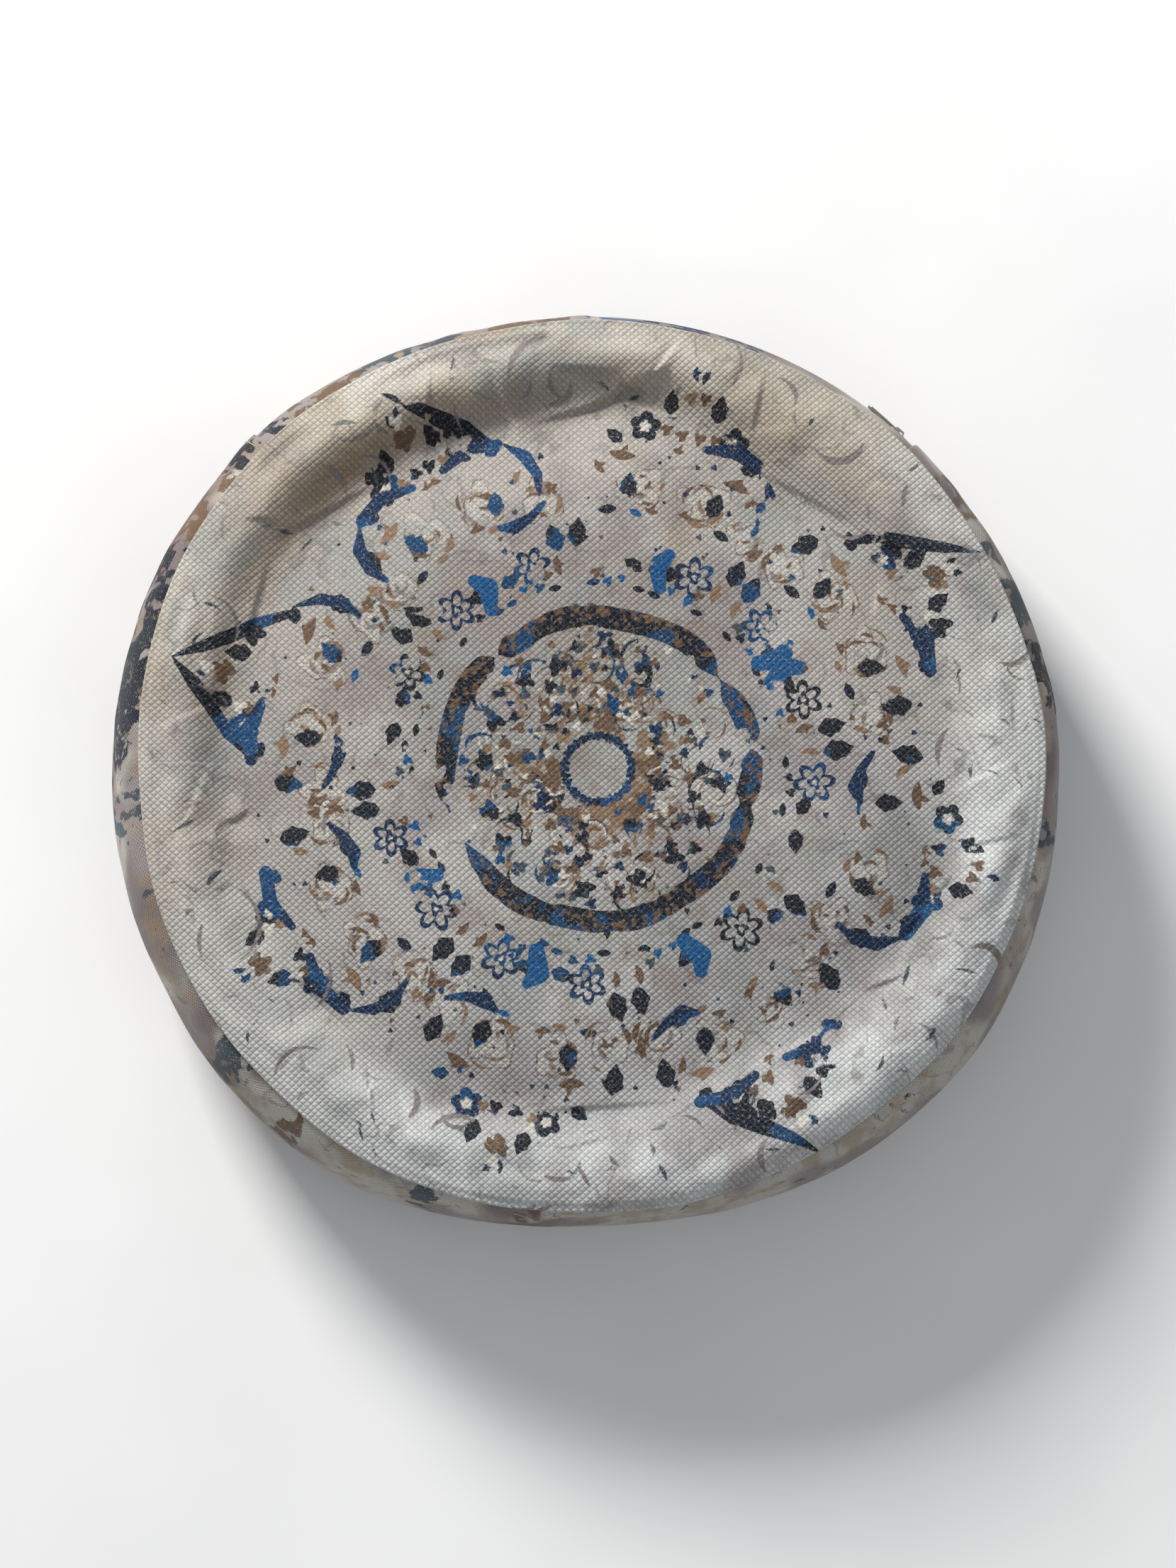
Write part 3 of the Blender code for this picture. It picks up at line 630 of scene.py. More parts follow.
class Print:
    """Ink on a cloth: at each point a colour, and how far inside a printed shape it is.

    The cover is 0.5 on a shape's edge, and goes from 0 to 1 over the soft edge, for a material to cut crisply.
    """

    def __init__(self, x, y):
        self.x, self.y = x, y
        self.cover = np.zeros(len(x))
        self.ink = np.full((len(x), 3), 0.3)

    def lay(self, place, turn, reach, shape, colour, strength=1.0):
        """Prints a shape, given as a function of its own x and y to the signed distance from its edge."""
        near = np.flatnonzero((np.abs(self.x - place[0]) < reach) & (np.abs(self.y - place[1]) < reach))
        if not len(near):
            return
        dx, dy = self.x[near] - place[0], self.y[near] - place[1]
        c, s = math.cos(math.radians(turn)), math.sin(math.radians(turn))
        cover = strength * np.clip(0.5 - shape(dx * c + dy * s, dy * c - dx * s) / (2 * SOFT_EDGE), 0, 1)
        over = cover > np.maximum(self.cover[near] * 0.6, 0.02)
        hit = near[over]
        self.cover[hit] = np.maximum(cover[over], self.cover[hit])
        self.ink[hit] = colour

    def stroke(self, places, colour):
        """Prints a stroke through places given as (angle, share of the seam's radius, half width in mm)."""
        spots = [
            (
                SEAM_RADIUS * share * math.cos(math.radians(a)),
                SEAM_RADIUS * share * math.sin(math.radians(a)),
                w / 1000,
            )
            for a, share, w in places
        ]
        for (x0, y0, w0), (x1, y1, w1) in zip(spots, spots[1:]):
            length = math.hypot(x1 - x0, y1 - y0)

            def distance(u, v):
                way = np.clip(u / length, 0, 1)
                return np.hypot(u - way * length, v) - w0 - (w1 - w0) * way

            turn = math.degrees(math.atan2(y1 - y0, x1 - x0))
            self.lay((x0, y0), turn, length + max(w0, w1) + 0.003, distance, colour)

    def polar(self, angle, radius, turn, reach, shape, colour, strength=1.0):
        """Prints a shape at an angle and radius of the medallion, turned to face outwards."""
        a = math.radians(angle)
        place = (radius * math.cos(a), radius * math.sin(a))
        self.lay(place, angle + turn, reach, shape, colour, strength)


def line_of(shape, width):
    """Only the outline of a shape, a line just inside its edge."""
    return lambda x, y: np.abs(shape(x, y) + width / 2) - width / 2


def flower(radius, petals, depth=0.34):
    """A flower: its edge swings between two radii with the cosine of the angle times half the petals."""

    def distance(x, y):
        swing = np.abs(np.cos(petals * np.arctan2(y, x) / 2))
        return np.hypot(x, y) - radius * (1 - depth + depth * swing)

    return distance


def leaf(length, width, bend=0.0):
    """A leaf: its half width is a parabola of the way along, and its middle line another."""

    def distance(x, y):
        way = 2 * x / length
        middle = bend * (1 - way**2)
        return np.maximum(np.abs(y - middle) - width / 2 * (1 - way**2), np.abs(x) - length / 2)

    return distance


def ragged(length, width, seed):
    """A broad leaf with a pointed end and notched sides: its half width swells early, waved by a sine."""
    start = 6.3 * np.random.default_rng(seed).random()

    def distance(x, y):
        way = 2 * x / length
        body = (1 - way**2) * (1 - 0.35 * way) * (1 + 0.11 * np.sin(9 * way + start))
        return np.maximum(np.abs(y) - width / 2 * body, np.abs(x) - length / 2)

    return distance


def blob(radius, seed):
    """An uneven round: its radius is a circle's plus two waves of the angle."""
    a, b = np.random.default_rng(seed).random(2) * 6.3

    def distance(x, y):
        t = np.arctan2(y, x)
        return np.hypot(x, y) - radius * (1 + 0.25 * np.sin(3 * t + a) + 0.16 * np.sin(5 * t + b))

    return distance


def arc(radius, width, half_angle):
    """A crescent on a circle about its own origin, widest in its middle and pointed at both ends."""

    def distance(x, y):
        way = np.degrees(np.arctan2(y, x)) / half_angle
        body = np.abs(np.hypot(x, y) - radius) - width / 2 * (1 - way**2)
        return np.maximum(body, (np.abs(way) - 1) * 0.01)

    return distance


LOBE_MARKS = (
    # kind, degrees off the lobe's axis, radius as a share, turn, size, inks; each has a twin across the axis
    ("flower", 11.6, 0.482, 0, 0.0112, "royal royal navy"),
    ("pear", 5.2, 0.465, 75, 0.0118, "charcoal"),
    ("pear", 19.8, 0.532, 0, 0.0150, "charcoal charcoal navy"),
    ("streak", 19.2, 0.470, 0, 0.0110, "brown brown tan"),
    ("seed", 2.4, 0.415, 90, 0.0075, "charcoal"),
    ("seed", 16.5, 0.415, 90, 0.0075, "charcoal"),
    ("patch", 12.4, 0.428, 0, 0.0024, "azure navy"),
    ("patch", 7.6, 0.432, 0, 0.0022, "azure charcoal"),
    ("patch", 15.2, 0.445, 0, 0.0026, "brown slate"),
    ("seed", 12.7, 0.588, 90, 0.0105, "navy charcoal"),
    ("rose", 6.4, 0.652, 0, 0.0125, "brown"),
    ("pear", 9.0, 0.647, 10, 0.0135, "charcoal charcoal navy"),
    ("rose", 18.2, 0.612, 0, 0.0115, "brown"),
    ("pear", 17.8, 0.687, 170, 0.0150, "charcoal"),
    ("patch", 21.0, 0.640, 0, 0.0028, "brown tan"),
    ("streak", 10.7, 0.712, 90, 0.0150, "brown tan"),
    ("streak", 14.6, 0.685, 30, 0.0100, "brown tan"),
    ("streak", 3.6, 0.600, 90, 0.0090, "brown tan"),
    ("seed", 6.3, 0.588, 80, 0.0075, "tan azure"),
    ("bloom", 7.0, 0.792, 0, 0.0086, "royal navy navy"),
    ("pear", 12.1, 0.765, 60, 0.0100, "charcoal navy"),
    ("pear", 3.8, 0.852, -8, 0.0130, "charcoal"),
    ("patch", 1.5, 0.784, 0, 0.0032, "charcoal brown navy"),
    ("patch", 4.2, 0.790, 0, 0.0028, "brown tan"),
    ("streak", 0.9, 0.747, 90, 0.0075, "brown"),
    ("patch", 1.0, 0.868, 0, 0.0030, "brown brown tan"),
    ("streak", 0.75, 0.915, 12, 0.0085, "royal navy"),
)

LOBE_STROKES = (
    # ink, then along the stroke: degrees off the lobe's axis, radius as a share, half width in mm;
    # each has a twin
    ("navy", (0, 0.985, 0.5), (2.6, 0.925, 3.6), (5.5, 0.875, 4.2), (9, 0.830, 4.0), (12, 0.780, 2.4)),
    ("royal", (14, 0.770, 0.8), (17, 0.730, 3.8), (18.5, 0.680, 3.2), (18, 0.635, 1.4)),
    ("royal", (18.5, 0.612, 1.4), (15, 0.586, 2.8), (11, 0.575, 4.6), (8, 0.585, 2.0)),
    ("royal", (3, 0.765, 2.4), (8, 0.787, 4.8), (13, 0.775, 3.6)),
    ("azure", (3.2, 0.505, 3.6), (1.2, 0.475, 6.6), (3.6, 0.430, 4.0)),
)
LOBE_SPOTS = (
    # degrees off the lobe's axis, radius as a share, radius of the spot in mm, ink; each has a twin
    (0, 0.868, 5.5, "brown"),
    (0, 0.905, 3.6, "cream"),
    (4.5, 0.815, 3.4, "cream"),
    (7, 0.830, 5.5, "charcoal"),
)

BERRIES = (
    # degrees off the lobe's axis, radius as a share, radius of the berry, inks
    (3, 0.152, 0.0036, "royal navy"),
    (-2, 0.136, 0.0026, "navy"),
    (-9, 0.255, 0.0050, "charcoal"),
    (9, 0.262, 0.0046, "charcoal navy"),
    (15, 0.228, 0.0030, "charcoal navy slate"),
    (0, 0.222, 0.0034, "charcoal brown"),
    (-17, 0.215, 0.0026, "navy royal slate"),
    (22, 0.282, 0.0034, "charcoal slate"),
    (-13, 0.190, 0.0030, "brown"),
    (7, 0.195, 0.0026, "brown tan charcoal"),
    (18, 0.170, 0.0030, "brown tan"),
    (12, 0.296, 0.0028, "azure royal"),
)
CRUMBS = "charcoal navy brown brown tan tan slate royal cream"


def paint_medallion(x, y, colours):
    """The top panel's print: flowers, roses and leaves in eight lobes, and worn blue arches and crescents."""
    unit = SEAM_RADIUS
    sheet = Print(x - 0.0043, y + 0.0043)
    rng = np.random.default_rng(17)
    pick = lambda names: colours[rng.choice(names.split())]
    spin = lambda: rng.random() * 360
    r, t = np.hypot(sheet.x, sheet.y), np.degrees(np.arctan2(sheet.y, sheet.x))

    # Middle: tan stipple round the blue ring, then roses, sprigs and berries out to the dark ring
    fine = 0.6 * cloudy(sheet.x, sheet.y, 0.006, 41) + 0.4 * cloudy(sheet.x, sheet.y, 0.020, 44)
    ring = smooth(r, 0.072 * unit, 0.08 * unit) * (1 - smooth(r, 0.13 * unit, 0.30 * unit))
    sheet.cover = np.clip(
        (fine - 0.80 + 0.30 * ring + 0.16 * (r < 0.14 * unit)) * 5 * np.minimum(1, 2 * ring), 0, 0.66
    )
    sheet.ink[:] = np.where((cloudy(x, y, 0.012, 47) > 0.45)[:, None], colours["tan"], colours["brown"])
    for k in range(50):
        angle, radius = spin(), unit * rng.uniform(0.14, 0.30)
        if 15 < angle < 55 and rng.random() < 0.7:
            continue
        for n in range(6):
            petal = arc(rng.uniform(0.003, 0.010), rng.uniform(0.0009, 0.0016), rng.uniform(40, 100))
            near = angle + rng.uniform(-3, 3), radius + rng.uniform(-0.003, 0.003)
            sheet.polar(*near, spin(), 0.015, petal, pick("brown brown tan charcoal cream cream"))
    for k in range(8):
        for n, (off, radius, size, inks) in enumerate(BERRIES):
            angle = 30 + 45 * k + off + rng.uniform(-2, 2)
            if 12 < angle % 360 < 58 and n > 1 and rng.random() < 0.75:
                continue
            near = unit * (radius + rng.uniform(-0.008, 0.008))
            sheet.polar(angle, near, spin(), 0.013, blob(size, 12 * k + n), pick(inks))
            if n in (2, 3, 7):
                for _ in range(2):
                    curve = arc(rng.uniform(0.005, 0.011), rng.uniform(0.0014, 0.0022), rng.uniform(40, 90))
                    near = unit * (radius + rng.uniform(-0.03, 0.02))
                    beside = angle + rng.uniform(-7, 7)
                    sheet.polar(beside, near, spin(), 0.016, curve, pick("charcoal charcoal navy slate"))
    for k in range(230):
        place = spin(), unit * rng.uniform(0.10, 0.31)
        sheet.polar(*place, spin(), 0.006, blob(rng.uniform(0.0009, 0.0024), k), pick(CRUMBS))
    for k in range(28):
        angle = k * 360 / 28 + rng.uniform(-1.5, 1.5)
        sheet.polar(angle, 0.0745 * unit, 0, 0.005, blob(0.0024, k), pick("royal royal navy"))

    # The dark ring, beaded and worn through on the right and at the lower left
    wobble = 0.0010 * np.sin(np.radians(8 * t)) + 0.0012 * (cloudy(x, y, 0.02, 51) - 0.5)
    worn = hills(t, (37, 5, 0.006), (8, 3.5, 0.005), (203, 12, 0.008), (132, 3, 0.006), (346, 3, 0.003))
    band = (
        np.abs(r - 0.342 * unit - wobble) - 0.0064 + worn + 0.006 * np.clip(cloudy(x, y, 0.013, 53) - 0.56, 0, 1)
    )
    cover = np.clip(0.5 - band / (2 * SOFT_EDGE), 0, 1)
    over = cover > 0.1
    beads = mottle(x, y, 0.0024, 59) + 0.2 * (r > 0.345 * unit) - 0.1
    tone = np.where((beads > 0.64)[:, None], colours["brown"], colours["charcoal"])
    tone = np.where((cloudy(x, y, 0.0052, 67) > 0.68)[:, None], colours["navy"], tone)
    tone = np.where(((cloudy(x, y, 0.0044, 68) > 0.66) & (sheet.y < -0.05))[:, None], colours["royal"], tone)
    sheet.cover[over] = np.maximum(0.97 * cover, sheet.cover)[over]
    sheet.ink[over] = tone[over]

    # Eight lobes from one list of marks
    for k in range(8):
        for kind, off, share, turn, size, inks in LOBE_MARKS:
            for side in (-1, 1):
                angle = 30 + 45 * k + side * (off + rng.uniform(-0.5, 0.5))
                radius = unit * (share + rng.uniform(-0.006, 0.006))
                ink, lost = pick(inks), rng.random()
                if lost < (0.30 if kind == "flower" and 165 < angle < 235 else 0.10):
                    continue
                size_now = size * rng.uniform(0.95, 1.15)
                facing = side * turn + rng.uniform(-12, 12)
                if kind == "flower":
                    sheet.polar(
                        angle, radius, facing + 20, 0.017, line_of(flower(size_now, 6, 0.42), 0.0031), ink
                    )
                    sheet.polar(angle, radius, facing, 0.008, blob(0.0034, k), ink)
                    sheet.polar(angle, radius, facing, 0.006, blob(0.0014, k), colours["cream"])
                elif kind == "bloom":
                    sheet.polar(angle, radius, facing, 0.014, flower(size_now, 5, 0.30), ink)
                    sheet.polar(
                        angle, radius, facing, 0.009, flower(0.42 * size_now, 5, 0.4), colours["cream"]
                    )
                elif kind == "pear":
                    pear = ragged(size_now * 1.1, 0.66 * size_now, 3 * k + side + 1)
                    sheet.polar(angle, radius, facing, 0.013, pear, ink)
                elif kind == "seed":
                    sheet.polar(angle, radius, facing, 0.009, leaf(size_now, 0.48 * size_now), ink)
                elif kind == "streak":
                    sheet.polar(angle, radius, facing, 0.014, leaf(size_now, 0.36 * size_now, 0.0012), ink)
                    twig = leaf(0.6 * size_now, 0.22 * size_now, 0.001)
                    sheet.polar(angle, radius + 0.002, facing + 60, 0.010, twig, ink)
                elif kind == "patch":
                    sheet.polar(angle, radius, facing, 0.011, blob(size_now, 5 * k + side + 1), ink)
                else:
                    sheet.polar(
                        angle, radius, facing, 0.016, blob(0.92 * size_now, k), colours["cream"], 0.48
                    )
                    for n in range(8):
                        petal = arc(
                            size_now * rng.uniform(0.3, 0.9), rng.uniform(0.0014, 0.0026), rng.uniform(24, 55)
                        )
                        near = angle + rng.uniform(-1.6, 1.6), radius + rng.uniform(-0.005, 0.005)
                        sheet.polar(*near, spin(), 0.016, petal, pick("brown brown tan mauve_ink"))
                    outline = line_of(blob(0.92 * size_now, k), 0.0012)
                    sheet.polar(angle, radius, facing, 0.016, outline, colours["brown"], 0.75)
                    outer = arc(0.85 * size_now, 0.0036, 34)
                    sheet.polar(angle, radius, facing + side * 120, 0.018, outer, pick("brown tan"))
    # The lobes' own arches and crescents, worn away by chance, least at the back left
    fate = np.random.default_rng(WEAR_SEED)
    for axis in range(30, 390, 45):
        left = 0.34 + 0.40 * float(hills(np.array(float(axis)), (150, 55, 1.0)))
        for ink, *places in LOBE_STROKES:
            for side in (-1, 1):
                if fate.random() < left:
                    spots = [(axis + side * a, share, w * fate.uniform(0.8, 1.15)) for a, share, w in places]
                    sheet.stroke(spots, colours[ink])
        for off, share, size, ink in LOBE_SPOTS:
            for side in (-1, 1):
                if fate.random() < left:
                    sheet.polar(
                        axis + side * off, share * unit, 0, 0.012, blob(size / 1000, axis), colours[ink]
                    )

    # Flecks and drawn curls of the border, and crumbs of ink everywhere
    for k in range(150):
        place = spin(), unit * rng.uniform(0.80, 0.985)
        mark = leaf(rng.uniform(0.006, 0.018), rng.uniform(0.0016, 0.0040), rng.uniform(-0.003, 0.003))
        if k % 4 == 0:
            mark = arc(rng.uniform(0.008, 0.024), rng.uniform(0.0026, 0.0050), rng.uniform(30, 90))
        ink = pick("slate olive mauve_ink slate") if k % 4 else colours["mauve_ink"]
        sheet.polar(*place, spin(), 0.027, mark, ink, rng.uniform(0.55, 0.8))
    for k in range(320):
        place = spin(), unit * math.sqrt(rng.uniform(0.02, 0.60))
        turned = spin()
        mark = blob(rng.uniform(0.0006, 0.0017), k)
        sheet.polar(*place, turned, 0.004, mark, pick("charcoal navy brown slate royal"))

    # Wear takes ink away in patches, and turns some blues lighter
    wear = 0.65 * cloudy(x, y, 0.026, 71) + 0.35 * cloudy(x, y, 0.007, 77)
    sheet.cover *= 1 - 0.7 * smooth(wear, 0.62, 0.74)
    blue = (sheet.ink[:, 2] > 2.2 * sheet.ink[:, 0]) & (cloudy(x, y, 0.018, 83) > 0.60)
    sheet.ink[blue] = 0.5 * sheet.ink[blue] + 0.5 * np.array(colours["azure"])
    return sheet


def paint_ground(x, y, colours):
    """The worn ground: cream with washes of mauve and green-grey, warm at the back, cool at the front right, with
    painted shade: warm brown in the back left valley, a dusk ring inside the valley, and darker mauve on the rim
    at the left and back.
    """
    wash = 0.65 * cloudy(x, y, 0.062, 5) + 0.35 * cloudy(x, y, 0.017, 8)
    other = cloudy(x, y, 0.045, 13)
    radius = np.hypot(x, y)
    inner = 1 - smooth(radius, 0.10, 0.20)
    side = smooth(-x * 0.55 + y, -0.22, 0.20)
    ground = np.array(colours["pale"]) * (1 - side[:, None]) + np.array(colours["cream"]) * side[:, None]
    turn = np.degrees(np.arctan2(y, x))
    # Painted shade: warm brown on the outer bank of the back left valley, where the cloth turns away from the
    # light
    brown_wash_and_shade = np.minimum(1, hills(turn, (108, 36, 0.9), (140, 20, 0.5), (172, 10, 0.6), (50, 16, 0.45)))
    brown_wash_and_shade *= np.exp(-(((radius / SEAM_RADIUS - 0.86) / 0.07) ** 2)) * (0.55 + 0.6 * cloudy(x, y, 0.02, 25))
    # Painted shade: the rim darkened with mauve at the left and at the back
    painted_rim_shade = hills(turn, (190, 40, 0.38), (92, 25, 0.22))
    for share, name in (
        (np.minimum(1, brown_wash_and_shade), "brown_wash_and_shade"),
        (0.42 * (1 - smooth(radius, 0.80 * SEAM_RADIUS, 0.88 * SEAM_RADIUS)), "mauve"),
        # Painted shade: a darker dusk ring just inside the valley, strongest at the left
        (
            hills(turn, (180, 75, 0.24), (45, 25, 0.14)) * np.exp(-(((radius / SEAM_RADIUS - 0.70) / 0.14) ** 2)),
            "dusk",
        ),
        (painted_rim_shade * smooth(radius, 0.82 * SEAM_RADIUS, 0.90 * SEAM_RADIUS), "mauve"),
        (0.75 * smooth(wash + 0.10 * inner, 0.46, 0.70), "mauve"),
        (0.55 * smooth(other, 0.56, 0.74), "sage"),
        (0.45 * side * smooth(cloudy(x, y, 0.05, 19), 0.48, 0.72), "beige"),
        (0.30 * inner * smooth(cloudy(x, y, 0.012, 23), 0.50, 0.75), "tan"),
    ):
        ground += (np.array(colours[name]) - ground) * share[:, None]
    return ground


def paint_band(along, across, colours):
    """The band's print: soft blocks of deep colour round the back and sides, over mauve and cream."""
    bend = along + 0.016 * (cloudy(along, across, 0.04, 91) - 0.5)
    angle = np.degrees(bend / BULGE_RADIUS)
    front = np.minimum(1, hills(angle, (300, 62, 1.0), (40, 18, 0.5)))
    ground = np.array(colours["dusk"]) + np.zeros((len(along), 3))
    for share, name in (
        (smooth(cloudy(along, across, 0.05, 93) + 0.25 * front, 0.42, 0.62), "mauve"),
        (0.8 * smooth(cloudy(along, across, 0.035, 95) + 0.30 * front, 0.56, 0.76), "cream"),
        (0.5 * smooth(cloudy(along, across, 0.012, 103), 0.50, 0.72), "brown_wash_and_shade"),
    ):
        ground += (0.95 * np.array(colours[name]) - ground) * share[:, None]
    sheet = Print(along, across)
    blocks = (
        # middle, half width in degrees, ink
        (163, 15, "navy"), (184, 4, "slate"), (145, 5, "brown"), (136, 4, "navy"), (125, 6, "brown"),
        (112, 7, "slate"), (98, 6, "brown"), (86, 4, "azure"), (79, 4, "royal"), (70, 3, "slate"),
        (36, 4, "brown"), (22, 6, "slate"), (11, 4, "navy"), (219, 3, "slate"), (230, 2, "brown"),
        (249, 2, "slate"), (262, 2, "brown"), (352, 2, "slate"),
    )
    for middle, width, name in blocks:
        away = np.abs((angle - middle + 180) % 360 - 180)
        edge = away - width * (0.55 + 0.9 * cloudy(along, across, 0.020, int(middle)))
        cover = np.clip(0.5 - edge * 0.0044 / (5 * SOFT_EDGE), 0, 1)
        over = cover > 0.02
        sheet.cover[over] = np.maximum(sheet.cover, cover)[over]
        sheet.ink[over] = colours[name]
    rng = np.random.default_rng(29)
    pick = lambda *choices: colours[choices[rng.integers(len(choices))]]
    for k in range(420):
        place = rng.uniform(along.min(), along.max()), rng.uniform(0, across.max())
        curl = arc(rng.uniform(0.004, 0.014), rng.uniform(0.0016, 0.0034), rng.uniform(30, 90))
        mark = (
            curl,
            leaf(rng.uniform(0.008, 0.018), 0.005, 0.002),
            curl,
            line_of(flower(0.009, 5), 0.0022),
        )[k % 4]
        ink = pick("brown", "slate", "dusk", "mauve", "olive", "dusk")
        sheet.lay(place, rng.random() * 360, 0.018, mark, ink, rng.uniform(0.5, 0.85))
    for k in range(700):
        place = rng.uniform(along.min(), along.max()), rng.uniform(0, across.max())
        mark = blob(rng.uniform(0.0007, 0.0022), k)
        sheet.lay(
            place, 0, 0.005, mark, pick("slate", "navy", "brown", "mauve", "dusk"), rng.uniform(0.55, 1)
        )
    wear = 0.5 * cloudy(along, across, 0.020, 97) + 0.5 * cloudy(along, across, 0.005, 99)
    sheet.cover *= 0.78 - 0.70 * smooth(wear, 0.48, 0.64)
    return sheet, ground


def coordinates(piece):
    """X, y and z of each point of a piece."""
    points = np.empty(len(piece.data.vertices) * 3, np.float32)
    piece.data.vertices.foreach_get("co", points)
    return points.reshape(-1, 3).astype(float).T


def put_print(piece, sheet, ground):
    """Stores the ink with its cover, and the ground, as two colour attributes of a piece."""
    for name, colour, last in (("ink", sheet.ink, sheet.cover), ("ground", ground, np.ones(len(ground)))):
        layer = piece.data.color_attributes.new(name, "FLOAT_COLOR", "POINT")
        layer.data.foreach_set("color", np.column_stack([colour, last]).astype(np.float32).ravel())


# ---- Materials ----


class Wiring:
    """Adds shader nodes to one tree and joins them up."""

    def __init__(self, tree):
        self.tree = tree

    def put(self, kind, *sources, **settings):
        """A node, with its settings, and its first inputs fed by sockets or set to values."""
        node = self.tree.nodes.new("ShaderNode" + kind)
        for name, value in settings.items():
            setattr(node, name, value)
        for socket, source in zip(node.inputs, sources):
            self.feed(socket, source)
        return node

    def feed(self, socket, source):
        """Joins a socket to another, or sets its value."""
        if isinstance(source, bpy.types.NodeSocket):
            self.tree.links.new(source, socket)
        elif source is not None:
            socket.default_value = source

    def math(self, operation, *values):
        return self.put("Math", *values, operation=operation).outputs[0]

    def blend(self, share, first, second, mode="MIX"):
        """One colour over another by a share."""
        node = self.put("Mix", data_type="RGBA", blend_type=mode)
        for socket, source in zip((node.inputs[0], node.inputs[6], node.inputs[7]), (share, first, second)):
            self.feed(socket, source)
        return node.outputs[2]

    def noise(self, vector, scale, detail=2.0, rough=0.5):
        node = self.put("TexNoise", vector)
        for name, value in (("Scale", scale), ("Detail", detail), ("Roughness", rough)):
            node.inputs[name].default_value = value
        return node.outputs[0]

    def step(self, value, low, high):
        """0 below low to 1 above high, smoothly."""
        node = self.put("MapRange", value, low, high, 0.0, 1.0, interpolation_type="SMOOTHSTEP")
        return node.outputs[0]


def new_group(name, inputs, outputs):
    """An empty shader group with float or vector inputs and outputs, and its wiring and sockets."""
    tree = bpy.data.node_groups.new(name, "ShaderNodeTree")
    for label, kind, value in inputs:
        socket = tree.interface.new_socket(name=label, in_out="INPUT", socket_type="NodeSocket" + kind)
        if value is not None:
            socket.default_value = value
    for label, kind in outputs:
        tree.interface.new_socket(name=label, in_out="OUTPUT", socket_type="NodeSocket" + kind)
    wiring = Wiring(tree)
    start, end = tree.nodes.new("NodeGroupInput"), tree.nodes.new("NodeGroupOutput")
    return tree, wiring, start.outputs, end.inputs


def weave_group():
    """Plain weave: bumps in rows that cross, powers of two cosines along the diagonals multiplied."""
    inputs = [("Vector", "Vector", None), ("Pitch", "Float", 0.004)]
    inputs += [("Row depth", "Float", 0.62), ("Slack", "Float", 0.26)]
    tree, w, given, made = new_group(
        "weave", inputs, [("Height", "Float"), ("Gap", "Float"), ("Thread", "Float")]
    )
    wander = w.put("TexNoise", given["Vector"])
    wander.inputs["Scale"].default_value = 90
    wander.inputs["Detail"].default_value = 1
    centred = w.put("VectorMath", wander.outputs[1], (0.5, 0.5, 0.5), operation="SUBTRACT").outputs[0]
    scaled = w.put("VectorMath", given["Vector"], operation="DIVIDE")
    pitch = w.put("CombineXYZ", given["Pitch"], w.math("MULTIPLY", given["Pitch"], 0.88), 1.0)
    w.feed(scaled.inputs[1], pitch.outputs[0])
    slack = w.put("VectorMath", centred, operation="SCALE")
    w.feed(slack.inputs["Scale"], given["Slack"])
    place = w.put("VectorMath", scaled.outputs[0], slack.outputs[0], operation="ADD").outputs[0]
    parts = w.put("SeparateXYZ", place).outputs
    rise = w.math(
        "ABSOLUTE", w.math("COSINE", w.math("MULTIPLY", w.math("ADD", parts[0], parts[1]), math.pi))
    )
    fall = w.math(
        "ABSOLUTE", w.math("COSINE", w.math("MULTIPLY", w.math("SUBTRACT", parts[0], parts[1]), math.pi))
    )
    both = w.math("MAXIMUM", w.math("MULTIPLY", rise, fall), 0.001)
    w.feed(made["Height"], w.math("POWER", both, given["Row depth"]))
    w.feed(
        made["Gap"],
        w.math("MAXIMUM", w.step(rise, 0.60, 0.04), w.math("MULTIPLY", w.step(fall, 0.60, 0.04), 0.8)),
    )
    w.feed(made["Thread"], w.noise(place, 1.9, 1.0))
    return tree


